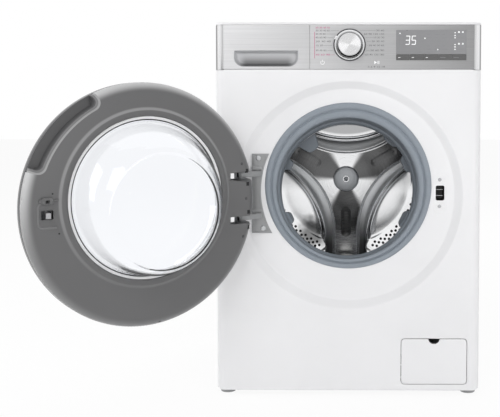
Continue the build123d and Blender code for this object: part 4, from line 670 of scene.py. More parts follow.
def shifted(loop: Loop, outwards: float) -> Loop:
    """Moves an outline outwards by its own normals.

    Args:
        loop: Anticlockwise loop.
        outwards: Distance; a negative one shrinks the outline.

    Returns:
        The moved loop.
    """
    moved = []
    for place, (x, y) in enumerate(loop):
        before, after = Vector(loop[place - 1]), Vector(loop[(place + 1) % len(loop)])
        first, second = Vector((x, y)) - before, after - Vector((x, y))
        if first.length < 1e-9 or second.length < 1e-9:
            way = (after - before).normalized()
            moved.append((x + way.y * outwards, y - way.x * outwards))
            continue
        first.normalize()
        second.normalize()
        bend = Vector((first.y + second.y, -first.x - second.x))
        reach = outwards * 2.0 / max(bend.length_squared, 0.6)
        moved.append((x + bend.x * reach, y + bend.y * reach))
    return moved


def inside(x: float, y: float, loops: Iterable[Loop]) -> bool:
    """Tells whether a point lies between an outline and its holes.

    Args:
        x: The point's x.
        y: The point's y.
        loops: The outline and its holes.

    Returns:
        Whether it does.
    """
    odd = False
    for loop in loops:
        for place, (ax, ay) in enumerate(loop):
            bx, by = loop[place - 1]
            if (ay > y) != (by > y) and x < (bx - ax) * (y - ay) / (by - ay) + ax:
                odd = not odd
    return odd


def raised(loop: Iterable[Sequence[float]], depth: Depth) -> list[Vector]:
    """Takes flat points to one depth, or to the depth that a function gives for each."""
    return [Vector((x, y, depth(x, y) if callable(depth) else depth)) for x, y in loop]


def about_drum(loop: Loop, turn: float) -> Loop:
    """Turns an outline by so many degrees about the drum's axis, which it counts from."""
    cosine, sine = math.cos(math.radians(turn)), math.sin(math.radians(turn))
    return [(x * cosine - y * sine, AXIS_HEIGHT + x * sine + y * cosine) for x, y in loop]


def linked(name: str, data: bpy.types.ID) -> bpy.types.Object:
    """Puts a new object with the given data into the scene."""
    made = bpy.data.objects.new(name, data)
    bpy.context.scene.collection.objects.link(made)
    return made


def finished_mesh(carrier: bpy.types.Object) -> bpy.types.Mesh:
    """Gives the evaluated mesh of an object and removes the object.

    Args:
        carrier: Object with its modifiers.

    Returns:
        A plain mesh.
    """
    graph = bpy.context.evaluated_depsgraph_get()
    made = bpy.data.meshes.new_from_object(carrier.evaluated_get(graph))
    bpy.data.objects.remove(carrier)
    return made


def smoothed(mesh: bpy.types.Mesh) -> bpy.types.Mesh:
    """Shades a mesh smooth, apart from its sharp edges."""
    mesh.shade_smooth()
    mesh.set_sharp_from_angle(angle=SHARP)
    return mesh


class Shape:
    """A mesh in the making, in millimetres of its own frame."""

    def __init__(self, place: Matrix = FACE) -> None:
        """Starts an empty mesh that goes to the given place."""
        self.mesh = bmesh.new()
        self.place = place

    def skin(self, rings: Sequence[Sequence[Vector]], closed: bool = True, finish: int = 0) -> "Shape":
        """Spans faces between rings of equal length.

        Args:
            rings: Rings of points.
            closed: Whether each ring runs round.
            finish: Number of the material.

        Returns:
            This shape.
        """
        rows = [[self.mesh.verts.new(point) for point in ring] for ring in rings]
        for low, high in zip(rows, rows[1:]):
            for place in range(len(low) if closed else len(low) - 1):
                after = (place + 1) % len(low)
                face = self.mesh.faces.new((low[place], low[after], high[after], high[place]))
                face.material_index = finish
        return self

    def fill(
        self, loops: Sequence[Loop], depth: Depth, finish: int = 0, extra: Sequence[Point] = ()
    ) -> "Shape":
        """Fills the region between an outline and its holes.

        Args:
            loops: The outline first, then the holes.
            depth: Third coordinate, or a function that gives it for a point.
            finish: Number of the material.
            extra: Points inside that the faces also use.

        Returns:
            This shape.
        """
        points, edges = [], []
        for loop in loops:
            first = len(points)
            points += [Vector(point) for point in loop]
            edges += [(first + step, first + (step + 1) % len(loop)) for step in range(len(loop))]
        points += [Vector(point) for point in extra]
        spots, _, triangles, *_ = delaunay_2d_cdt(points, edges, [], 1, 1e-5)
        corners = [self.mesh.verts.new(point) for point in raised(spots, depth)]
        for triangle in triangles:
            x, y = (sum(spots[corner][axis] for corner in triangle) / 3 for axis in (0, 1))
            if inside(x, y, loops):
                self.mesh.faces.new([corners[corner] for corner in triangle]).material_index = finish
        return self

    def wall(self, loop: Loop, steps: Sequence[Point], finish: int = 0) -> "Shape":
        """Runs a wall along an anticlockwise outline, over pairs of outward shift and depth."""
        return self.skin([raised(shifted(loop, out), depth) for out, depth in steps], True, finish)

    def slab(
        self,
        outer: Loop,
        holes: Sequence[Loop] = (),
        near: float = 0.0,
        far: float = 2.0,
        near_round: float = 0.5,
        far_round: float = 0.0,
        finish: int = 0,
    ) -> "Shape":
        """Adds a closed plate with rounded edges.

        Args:
            outer: Outline.
            holes: Outlines of openings.
            near: Depth of the front face.
            far: Depth of the back face.
            near_round: Radius at the front edges.
            far_round: Radius at the back edges.
            finish: Number of the material.

        Returns:
            This shape.
        """
        steps = self.edge(near, near_round) + self.edge(far, -far_round)[::-1]
        loops = [(outer, 1.0)] + [(hole, -1.0) for hole in holes]
        for loop, sign in loops:
            self.wall(loop, [(out * sign, depth) for out, depth in steps], finish)
        for out, depth in (steps[0], steps[-1]):
            self.fill([shifted(loop, out * sign) for loop, sign in loops], depth, finish)
        return self

    @staticmethod
    def edge(depth: float, radius: float) -> list[Point]:
        """Gives the shift and depth along a quarter round, from the face to the wall.

        Args:
            depth: Depth of the face.
            radius: Radius; positive runs deeper, negative runs nearer.

        Returns:
            The pairs.
        """
        if abs(radius) < 1e-6:
            return [(0.0, depth)]
        turns = [math.pi / 2 * step / 4 for step in range(5)]
        return [(abs(radius) * (math.sin(turn) - 1), depth + radius * (1 - math.cos(turn))) for turn in turns]

    def lathe(
        self, profile: Sequence[Point], centre: Point = (0.0, 0.0), count: int = 128, finish: int = 0
    ) -> "Shape":
        """Turns a profile round an axis.

        Args:
            profile: Pairs of radius and depth; a radius of 0 closes the end.
            centre: Place of the axis.
            count: Number of spans round it.
            finish: Number of the material.

        Returns:
            This shape.
        """
        rings = [raised(circle(max(radius, 1e-5), centre, count), depth) for radius, depth in profile]
        return self.skin(rings, True, finish)

    def tube(self, path: Sequence[Vector], radius: float, sides: int = 10, closed: bool = False) -> "Shape":
        """Runs a round bar along a path.

        Args:
            path: Points of the middle line.
            radius: Radius of the bar.
            sides: Number of its sides.
            closed: Whether the path runs round.

        Returns:
            This shape.
        """
        rings, side = [], None
        last = len(path) - 1
        for place, point in enumerate(path):
            before = path[place - 1] if place or closed else point
            after = path[(place + 1) % len(path)] if place < last or closed else point
            way = (after - before).normalized()
            if side is None:
                side = way.orthogonal().normalized()
            side = (side - way * side.dot(way)).normalized()
            other = way.cross(side)
            turns = [math.tau * step / sides for step in range(sides)]
            rings.append([point + (side * math.cos(a) + other * math.sin(a)) * radius for a in turns])
        if closed:
            rings.append(rings[0])
        else:
            rings = [[path[0]] * sides] + rings + [[path[-1]] * sides]
        return self.skin(rings)

    def box(self, low: Point3, high: Point3, corner: float = 0.6) -> "Shape":
        """Adds a block with rounded edges between its lowest and highest corner."""
        middle = ((low[0] + high[0]) / 2, (low[1] + high[1]) / 2)
        outline = rounded(high[0] - low[0], high[1] - low[1], corner * 1.5, middle, 4)
        return self.slab(outline, (), low[2], high[2], corner, corner)

    def screw(self, centre: Point, radius: float, depth: float, height: float = 2.2) -> "Shape":
        """Adds a screw's head with its cross recess, seen from the front.

        Args:
            centre: Its place.
            radius: Radius of the head.
            depth: Depth of the head's top.
            height: Height of the head.

        Returns:
            This shape.
        """
        x, y = centre
        arm, half, flat = radius * 0.55, radius * 0.15, radius * 0.72
        quarter = [(-arm, -half), (-half, -half), (-half, -arm)]
        cross = [(x + a, y + b) for a, b in quarter]
        for _ in range(3):
            quarter = [(-b, a) for a, b in quarter]
            cross += [(x + a, y + b) for a, b in quarter]
        self.fill([circle(flat, centre, 32), cross], depth)
        self.skin([raised(cross, level) for level in (depth, depth + height * 0.6)])
        self.fill([cross], depth + height * 0.6)
        head = [(flat, depth), (radius * 0.9, depth + height * 0.2), (radius, depth + height * 0.55),
                (radius, depth + height), (0, depth + height)]
        return self.lathe(head, centre, 32)

    def bake(self, name: str) -> bpy.types.Mesh:
        """Turns the mesh into Blender's, at its place, faces outwards.

        Args:
            name: Name of the mesh.

        Returns:
            The mesh in metres.
        """
        bmesh.ops.transform(self.mesh, matrix=self.place, verts=self.mesh.verts)
        bmesh.ops.remove_doubles(self.mesh, verts=self.mesh.verts, dist=5e-6)
        bmesh.ops.dissolve_degenerate(self.mesh, edges=self.mesh.edges, dist=1e-6)
        bmesh.ops.recalc_face_normals(self.mesh, faces=self.mesh.faces)
        made = bpy.data.meshes.new(name)
        self.mesh.to_mesh(made)
        self.mesh.free()
        return smoothed(made)


def soft_copy(node: str, width: float) -> bpy.types.Mesh:
    """Copies a node's mesh in one skin with its edges slightly rounded.

    Args:
        node: Name of the node.
        width: Width of the rounding in millimetres; 0 leaves the edges.

    Returns:
        The mesh in metres.
    """
    skin = bmesh.new()
    skin.from_mesh(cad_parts[node].data)
    bmesh.ops.remove_doubles(skin, verts=skin.verts, dist=1e-5)
    bmesh.ops.dissolve_limit(skin, angle_limit=math.radians(0.6), verts=skin.verts, edges=skin.edges)
    made = bpy.data.meshes.new(node)
    skin.to_mesh(made)
    skin.free()
    if width > 0:
        carrier = linked(node + "_copy", made)
        edge = carrier.modifiers.new("edge", "BEVEL")
        edge.width = width * MM
        edge.segments = 2
        edge.limit_method = "ANGLE"
        edge.angle_limit = math.radians(38)
        edge.use_clamp_overlap = False
        made = finished_mesh(carrier)
    made.materials.clear()
    return smoothed(made)


class Spread(Enum):
    """Ways in which a piece is repeated."""

    RING = "ring"
    ROWS = "rows"


class Repeat:
    """A Geometry Nodes tree that repeats one small piece.

    The tree works in metres in the shared frame. A ring runs round an axis from front to back, and
    its rows follow each other outwards or backwards. Rows run straight on a plane.
    """

    INPUTS = {
        "Object": ("Piece",),
        "Int": ("Count", "Rows"),
        "Float": ("Radius", "Start", "Sweep", "Stagger", "Keep From", "Keep To", "Keep Repeat"),
        "Vector": ("Centre", "Step", "Row Step"),
    }

    def __init__(self, name: str, spread: Spread, finish: Finish) -> None:
        """Builds the tree.

        Args:
            name: Name of the tree.
            spread: How the piece is repeated.
            finish: Finish of every copy.
        """
        self.name = name
        self.finish = finish
        self.tree = bpy.data.node_groups.new(name, "GeometryNodeTree")
        self.tree.is_modifier = True
        for way in ("INPUT", "OUTPUT"):
            self.tree.interface.new_socket("Geometry", in_out=way, socket_type="NodeSocketGeometry")
        for kind, labels in self.INPUTS.items():
            for label in labels:
                self.tree.interface.new_socket(label, in_out="INPUT", socket_type="NodeSocket" + kind)
        self._build(spread)

    def _build(self, spread: Spread) -> None:
        """Adds the nodes that place the copies."""
        graph = Graph(self.tree)
        given = graph.node("NodeGroupInput")
        total = given["Count"] * given["Rows"]
        points = graph.node("GeometryNodeMeshLine", {"mode": "OFFSET"}, {"Count": total, "Offset": (0, 0, 0)})
        index = graph.node("GeometryNodeInputIndex")[0]
        row = (index / given["Count"] + 0.0001).maths("FLOOR")
        odd = row - (row * 0.5).maths("FLOOR") * 2.0
        along = index - row * given["Count"] + odd * given["Stagger"]
        spot = self._scaled(graph, given["Row Step"], row)
        kept = index < -1.0
        turn = {}
        if spread is Spread.RING:
            angle = given["Start"] + along * given["Sweep"] / given["Count"]
            parts = graph.node("ShaderNodeSeparateXYZ", None, {0: spot})
            reach = given["Radius"] + parts["X"]
            sockets = {"X": reach * angle.maths("COSINE"), "Y": parts["Y"], "Z": reach * angle.maths("SINE")}
            spot = graph.node("ShaderNodeCombineXYZ", None, sockets)[0]
            kept = given["Keep To"] > ((angle - given["Keep From"]) * given["Keep Repeat"]).maths("COSINE")
            turn = {"Y": 0.0 - angle}
        else:
            spot = graph.vector("ADD", self._scaled(graph, given["Step"], along), spot)[0]
        rotation = graph.node("ShaderNodeCombineXYZ", None, turn)[0]
        way = {"transform_space": "ORIGINAL"}
        piece = graph.node("GeometryNodeObjectInfo", way, {"Object": given["Piece"]})
        made = points["Mesh"]
        for kind, settings, sockets in (
            ("SetPosition", None, {"Position": graph.vector("ADD", given["Centre"], spot)[0]}),
            ("DeleteGeometry", {"domain": "POINT"}, {"Selection": kept}),
            ("InstanceOnPoints", None, {"Instance": piece["Geometry"], "Rotation": rotation}),
            ("RealizeInstances", None, {}),
            ("SetMaterial", None, {"Material": self.finish.material()}),
        ):
            made = graph.node("GeometryNode" + kind, settings, {0: made, **sockets})[0]
        graph.node("NodeGroupOutput", None, {0: made})

    @staticmethod
    def _scaled(graph: Graph, vector: Value, share: Value) -> Value:
        """A vector times a number."""
        return graph.node("ShaderNodeVectorMath", {"operation": "SCALE"}, {0: vector, "Scale": share})[0]

    def run(self, piece: bpy.types.Mesh, **inputs: Any) -> bpy.types.Mesh:
        """Repeats a piece and gives the plain mesh.

        Args:
            piece: Mesh of one copy, about the origin, in metres.
            inputs: Values of the tree's inputs, with spaces written as underscores.

        Returns:
            The mesh of all copies in the shared frame.
        """
        one = linked(self.name + "_one", piece)
        carrier = linked(self.name, bpy.data.meshes.new(self.name))
        way = carrier.modifiers.new(self.name, "NODES")
        way.node_group = self.tree
        values = {"Count": 1, "Rows": 1, "Sweep": math.tau, "Keep_To": -2.0, "Piece": one, **inputs}
        for item in self.tree.interface.items_tree:
            value = values.get(item.name.replace(" ", "_"))
            if item.in_out == "INPUT" and value is not None:
                way[item.identifier] = value
        made = finished_mesh(carrier)
        bpy.data.objects.remove(one)
        return smoothed(made)


@dataclass
class Assembly:
    """A group of pieces that belongs together.

    Attributes:
        body: Body that its pieces ride on unless one is named.
    """

    body: str = "cabinet"

    def add(
        self,
        name: str,
        mesh: bpy.types.Mesh | Shape,
        finishes: Finish | Sequence[Finish],
        body: str | None = None,
        replaces: Sequence[str] = (),
        wall: float = 0.0,
        across: tuple[str, str, Point3, Point3] | None = None,
    ) -> None:
        """Puts a piece into the scene, dressed and riding on its body unless it spans two bodies.

        Args:
            name: Name of the piece.
            mesh: Its mesh, or the shape to bake.
            finishes: Its finish, or one for each material number.
            body: Body that it rides on.
            replaces: Nodes that it stands for.
            wall: Thickness in millimetres given to an open skin, inwards.
            across: Two bodies that it spans, and where it leaves each; such a piece has its place baked into
                its mesh and is put on no body, and these values are not otherwise used.
        """
        if isinstance(mesh, Shape):
            mesh = mesh.bake(name)
        finishes = [finishes] if isinstance(finishes, Finish) else list(finishes)
        for finish in finishes if not mesh.materials else ():
            mesh.materials.append(finish.material())
        made = linked(name, mesh)
        if wall:
            skin = made.modifiers.new("wall", "SOLIDIFY")
            skin.thickness = wall * MM
            skin.offset = -1.0
            mesh = finished_mesh(made)
            mesh.name = name
            made = linked(name, mesh)
        if across:
            first, second, start, end = across
            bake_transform(made)
            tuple(start)
            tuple(end)
        else:
            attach(made, body or self.body)
        if replaces:
            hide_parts(*replaces)
        finishes[0].slot
        rides = across[:2] if across else body or self.body
        LOG.info("%s: %d faces, rides on %s", name, len(mesh.polygons), rides)

    def repeat(self, name: str, piece: Shape, spread: Spread, finish: Finish, **inputs: Any) -> None:
        """Adds many copies of a small shape as one piece.

        Args:
            name: Name of the piece.
            piece: One copy, about the origin.
            spread: How it is repeated.
            finish: Its finish.
            inputs: Values of the tree's inputs, with spaces written as underscores.
        """
        self.add(name, Repeat(name, spread, finish).run(piece.bake(name + "_one"), **inputs), finish)

    def dress(self, finish: Finish, *nodes: str) -> None:
        """Gives whole nodes a finish.

        Args:
            finish: The finish.
            nodes: Names of the nodes.
        """
        for node in nodes:
            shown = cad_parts[node]
            if not shown.material_slots:
                shown.data.materials.append(None)
            for spot in shown.material_slots:
                spot.material = finish.material()
            LOG.info("%s: node dressed in %s", node, finish.name)

    def soften(self, node: str, finish: Finish, width: float = 0.6, body: str | None = None) -> None:
        """Replaces a node by its copy with edges rounded to a width in millimetres."""
        self.add(node + "_skin", soft_copy(node, width), finish, body, (node,))


@dataclass
class Studio:
    """Camera, lamps, world and floor.

    Attributes:
        camera_place: Place of the camera in metres.
        camera_turn: Its rotation in degrees.
        lens: Focal length in millimetres.
        shift: Shift of the picture as shares of its width.
        floor_side: Side of the floor in metres.
        lamps: Name, place, aim, side in metres and power in watts of each lamp.
    """

    camera_place: Point3 = (-0.0300, -2.4069, 0.6889)
    camera_turn: Point3 = (87.02, 0.0, 0.61)
    lens: float = 67.90
    shift: Point = (-0.15, -0.13)
    floor_side: float = 24.0
    lamps: Sequence[tuple[str, Point3, Point3, float, float]] = (
        ("key_soft", (-1.2, -3.4, 2.6), (0.0, -0.3, 0.4), 1.8, 36.0),
        ("low_soft", (1.9, -3.1, 0.6), (0.0, -0.3, 0.2), 1.6, 37.0),
        ("left_soft", (-3.0, -0.7, 1.5), (-0.4, -0.4, 0.5), 1.8, 34.0),
        ("back_soft", (0.8, 2.6, 2.6), (0.0, 0.2, 0.6), 2.0, 40.0),
    )

    def build(self) -> None:
        """Sets up everything that isn't the object."""
        self.build_camera()
        self.build_world()
        self.build_floor()
        for lamp in self.lamps:
            self.build_lamp(*lamp)
        bpy.context.scene.view_settings.view_transform = "Standard"

    def build_camera(self) -> None:
        """Places the camera at the photograph's angle."""
        seen = bpy.data.cameras.new("camera")
        seen.lens, seen.sensor_width = self.lens, 36.0
        seen.shift_x, seen.shift_y = self.shift
        seen.clip_end = 100.0
        camera = linked("camera", seen)
        camera.location = self.camera_place
        camera.rotation_euler = [math.radians(turn) for turn in self.camera_turn]
        bpy.context.scene.camera = camera

    @staticmethod
    def seen_white(graph: Graph) -> Value:
        """1 for rays on which the background shows white."""
        path = graph.node("ShaderNodeLightPath")
        return path["Is Camera Ray"] + path["Is Glossy Ray"] + path["Is Transmission Ray"] > 0.5

    def build_world(self) -> None:
        """Lights evenly from all round and shows white behind the object."""
        world = bpy.data.worlds.new("world")
        graph = Graph.of(world)
        strength = self.seen_white(graph) * 0.54 + 0.46
        sky = graph.node("ShaderNodeBackground", None, {"Color": (1, 1, 1, 1), "Strength": strength})
        graph.node("ShaderNodeOutputWorld", None, {"Surface": sky[0]})
        bpy.context.scene.world = world

    def build_floor(self) -> None:
        """Lays the pale floor, which keeps the object's shadow."""
        half = self.floor_side / 2
        mesh = bpy.data.meshes.new("floor")
        corners = [(-half, -half, 0), (half, -half, 0), (half, half, 0), (-half, half, 0)]
        mesh.from_pydata(corners, [], [(0, 1, 2, 3)])
        paint = bpy.data.materials.new("floor_white")
        graph = Graph.of(paint)
        matt = graph.node("ShaderNodeBsdfDiffuse", None, {"Color": (0.92, 0.92, 0.92, 1)})[0]
        bright = graph.node("ShaderNodeEmission", None, {"Color": (1, 1, 1, 1), "Strength": 1.0})[0]
        share = self.seen_white(graph) * 0.93
        both = graph.node("ShaderNodeMixShader", None, {0: share, 1: matt, 2: bright})[0]
        graph.node("ShaderNodeOutputMaterial", None, {"Surface": both})
        mesh.materials.append(paint)
        floor = linked("floor", mesh)

    @staticmethod
    def build_lamp(name: str, place: Point3, aim: Point3, side: float, power: float) -> None:
        """Hangs one square soft lamp.

        Args:
            name: Name of the lamp.
            place: Its place in metres.
            aim: The point that it faces.
            side: Side of its square in metres.
            power: Power in watts.
        """
        light = bpy.data.lights.new(name, "AREA")
        light.size, light.energy = side, power
        lamp = linked(name, light)
        lamp.visible_glossy = False
        lamp.location = place
        lamp.rotation_euler = (Vector(aim) - Vector(place)).to_track_quat("-Z", "Y").to_euler()


@dataclass
class CabinetShell(Assembly):
    """The outside of the cabinet: front, lid, sides, back, hatch, feet and hinge bracket.

    Attributes:
        half_width: Half the cabinet's width.
        low: Height of the front's lower edge.
        high: Height of the front's upper edge.
        roll: Radius of the upright edges.
        fold: Depth to which the edges fold back.
        corner: Radius of the lower corners.
        sheet: Thickness of the front sheet.
        recess: Radius of the round recess at the face.
        recess_floor: Radius of its floor.
        recess_depth: Its depth.
        mouth: Radius of the mouth's opening.
        slot: Width, height and centre of the lock's slot.
        hatch: Width, height and centre of the hatch's opening.
        back: Depth of the rear panel.
        bracket_screws: Places of the bracket's screws.
        lock_screws: Places of the lock's screws.
    """

    half_width: float = 300.0
    low: float = 13.0
    high: float = 745.2
    roll: float = 21.0
    fold: float = 22.0
    corner: float = 12.0
    sheet: float = 1.5
    recess: float = 257.5
    recess_floor: float = 242.0
    recess_depth: float = 14.0
    mouth: float = 187.0
    slot: tuple[float, float, Point] = (19.5, 34.0, (208.9, 464.9))
    hatch: tuple[float, float, Point] = (151.0, 106.0, (195.6, 80.2))
    back: float = 555.0
    bracket_screws: Sequence[Point] = ((-204.2, 544.5), (-193.8, 384.3))
    lock_screws: Sequence[Point] = ((207.8, 495.3), (207.8, 434.5))

    def build(self) -> None:
        """Makes every piece of the shell."""
        self.build_front()
        self.build_beads()
        self.build_lock()
        self.build_bracket()
        self.build_feet()
        self.build_back()
        self.soften("top_lid", LID_WHITE, 1.0)
        self.soften("service_hatch", ENAMEL, 1.0, "hatch")
        self.dress(ENAMEL, "side_panel_left", "side_panel_right")
        self.dress(ZINC, "upper_frame")
        self.dress(GREY_PLASTIC, "base_frame")

    def build_front(self) -> None:
        """Presses the front panel with its recess, mouth, slot and hatch opening."""
        shape = Shape()
        slot = rounded(self.slot[0], self.slot[1], 4.0, self.slot[2])
        hatch = rounded(self.hatch[0], self.hatch[1], 9.0, self.hatch[2])
        edge, floor, down = self.recess, self.recess_floor, self.recess_depth
        flat = self.half_width - self.roll
        low, high = self.low + 2, self.high - 2
        face = [(-flat, low), (flat, low), (flat, high), (-flat, high)]
        shape.fill([face, circle(edge + 3.5, DRUM_AXIS, 256), shifted(hatch, 1.2)], 0.0)
        shape.fill([circle(floor - 3.0, DRUM_AXIS, 256), circle(self.mouth + 3.0, MOUTH_AXIS, 256),
                    shifted(slot, 0.8)], down)
        shape.lathe([(edge + 3.5, 0), (edge + 1.6, 0.25), (edge + 0.2, 0.95), (edge - 1.2, 2.2),
                     (floor + 1.8, down - 2.0), (floor + 0.6, down - 0.9), (floor - 1.0, down - 0.2),
                     (floor - 3.0, down)], DRUM_AXIS, 256)
        collar = ((3.0, 0.0), (1.4, 0.3), (0.4, 1.2), (0.0, 3.0), (0.0, 9.5))
        shape.lathe([(self.mouth + out, down + depth) for out, depth in collar], MOUTH_AXIS, 256)
        shape.wall(slot, [(0.8, down), (0.25, down + 0.25), (0.0, down + 0.9), (0.0, down + 4.0)])
        shape.wall(hatch, [(1.2, 0.0), (0.4, 0.3), (0.0, 1.2), (0.0, 7.0)])
        for side in (-1.0, 1.0):
            self.roll_edge(shape, side)
        for level, step in ((self.low, 1.0), (self.high, -1.0)):
            rows = [(level + 2 * step, 0.0), (level + 0.6 * step, 0.6), (level, 2.0), (level, self.fold)]
            shape.skin([raised([(-flat, z), (flat, z)], depth) for z, depth in rows], False)
        self.add("front_panel_skin", shape, ENAMEL, replaces=("front_panel",), wall=self.sheet)

    def roll_edge(self, shape: Shape, side: float) -> None:
        """Adds one upright edge of the front.

        Args:
            shape: The front's shape.
            side: -1 for the left edge, 1 for the right.
        """
        columns = []
        for step in range(13):
            turn = math.pi / 2 * step / 12
            out = self.half_width - self.roll + self.roll * math.sin(turn)
            deep = self.roll * (1 - math.cos(turn))
            cut = max(0.0, out - (self.half_width - self.corner))
            low = self.low + self.corner - math.sqrt(self.corner**2 - cut**2)
            high = self.high - (1.5 if out > 281.5 else 0.0)
            chain = [(low, self.fold), (low, 2), (low + 0.6, 0.6), (low + 2, 0),
                     (high - 2, 0), (high - 0.6, 0.6), (high, 2), (high, self.fold)]
            columns.append([Vector((side * out, z, min(deep + depth, self.fold))) for z, depth in chain])
        shape.skin(columns, False)

    def build_beads(self) -> None:
        """Embosses the fine outlines round the lock and the hinge."""
        shape = Shape()
        x, z = self.slot[2]
        outlines = [rounded(29.0, 92.0, 12.0, (x + 0.5, z)), rounded(36.0, 196.0, 14.0, (-206.0, 463.0))]
        for outline in outlines:
            kept = [point for point in outline if math.dist(point, DRUM_AXIS) < self.recess_floor - 6]
            if len(kept) == len(outline):
                kept.append(kept[0])
            shape.tube(raised(kept, self.recess_depth + 0.05), 0.45, 6)
        self.add("recess_beads", shape, ENAMEL)

    def build_lock(self) -> None:
        """Dresses the lock behind its slot, with the two pins that glint in it."""
        self.soften("door_lock", LOCK_BLACK, 0.6)
        x, z = self.slot[2]
        shape = Shape()
        for level in (z - 7.0, z + 7.0):
            shape.tube(raised([(x - 8.0, level), (x + 8.0, level)], 27.5), 1.1, 12)
        self.add("lock_pins", shape, SCREW_STEEL)

    def build_bracket(self) -> None:
        """Dresses the hinge bracket and puts in the cabinet's screws."""
        self.soften("door_hinge_bracket", BRACKET_GREY, 0.5)
        rim = Shape()
        arc = [(-math.sqrt(202.0**2 - (z - 470.0) ** 2), z) for z in range(380, 552, 4)]
        outline = [(-211.0, 375.2), (-216.8, 379.0), (-216.8, 548.4), (-211.0, 552.2), *arc[::-1]]
        rim.tube(raised([point for point in outline if point[0] < -171.0], 10.9), 0.9, 8, True)
        for lift in (521.5, 424.0):
            rim.slab(rounded(24.0, 9.0, 3.0, (-207.0, lift), 4), (), 8.4, 11.2, 1.6)
        self.add("bracket_rim", rim, BRACKET_GREY)
        for name, spots, radius, depth, nodes in (
            ("bracket_screws", self.bracket_screws, 6.0, 8.8, ("cabinet_screws",)),
            ("lock_screws", self.lock_screws, 4.0, 11.8, ()),
        ):
            shape = Shape()
            for spot in spots:
                shape.screw(spot, radius, depth)
            self.add(name, shape, SCREW_STEEL, replaces=nodes)

    def build_feet(self) -> None:
        """Turns the four levelling feet with their hexagon nuts and threads."""
        pad = [(0, 0), (15.6, 0), (16.6, 0.4), (17, 1.4), (17, 4.6), (16.4, 6.0), (15, 6.8), (11, 7), (0, 7)]
        thread = [(0.0, 12.0)]
        for step in range(25):
            thread += [(4.5, 12.0 + step * 1.2), (5.0, 12.6 + step * 1.2)]
        for row, depth in (("front", 40.0), ("rear", 525.0)):
            for side, across in (("left", -278.0), ("right", 278.0)):
                spot = (across, depth)
                shape = Shape(LEVEL).lathe(pad, spot, 64, 0)
                shape.slab(circle(9.6, spot, 6, 10.0), (), 7.0, 12.0, 0.7, 0.7, 1)
                shape.lathe(thread + [(0, 42)], spot, 24, 1)
                node = f"levelling_foot_{row}_{side}"
                self.add(node + "_skin", shape, (FOOT_GREY, SCREW_STEEL), f"foot_{row}_{side}", (node,))

    def build_back(self) -> None:
        """Dresses the back and embosses its ribs, louvres and the screws of its cover."""
        self.dress(ZINC, "rear_panel", "rear_access_cover")
        self.dress(BLUE_PLASTIC, "inlet_valve")
        self.dress(GREY_PLASTIC, "drain_outlet")
        self.dress(BLACK_RUBBER, "cord_gland")
        back = (FRONT + self.back) * MM
        screw = Shape(UPRIGHT).screw((0.0, 0.0), 5.6, -2.2)
        self.repeat("cover_screws", screw, Spread.RING, SCREW_STEEL, Count=6, Radius=0.1685,
                    Start=math.radians(30), Centre=(0.0, back + 0.0014, AXIS_HEIGHT * MM))
        screw = Shape(UPRIGHT).screw((0.0, 0.0), 4.2, -1.8)
        self.repeat("hem_screws", screw, Spread.ROWS, SCREW_STEEL, Count=5, Rows=2, Step=(0.0, 0.0, 0.19),
                    Row_Step=(0.56, 0.0, 0.0), Centre=(-0.28, back - 0.0001, 0.04))
        hood = Shape(UPRIGHT).slab(rounded(46.0, 7.0, 3.4), (), -2.4, 0.4, 2.2)
        # The louvre slits are black slabs: painted shade in place of openings.
        slit = Shape(UPRIGHT).slab(rounded(38.0, 1.8, 0.8, (0.0, 4.4)), (), -0.3, 0.3, 0.0)
        for name, piece, finish in (("louvre_hoods", hood, ZINC), ("louvre_slits", slit, HOLE_SHADE_BLACK)):
            self.repeat(name, piece, Spread.ROWS, finish, Count=4, Rows=6, Step=(0.054, 0.0, 0.0),
                        Row_Step=(0.0, 0.0, 0.0135), Centre=(-0.081, back, 0.668))
        rib = Shape(UPRIGHT).slab(rounded(330.0, 9.0, 4.4), (), -1.6, 0.4, 1.5)
        self.repeat("back_ribs", rib, Spread.ROWS, ZINC, Count=3, Step=(0.0, 0.0, 0.046),
                    Centre=(0.0, back, 0.09))


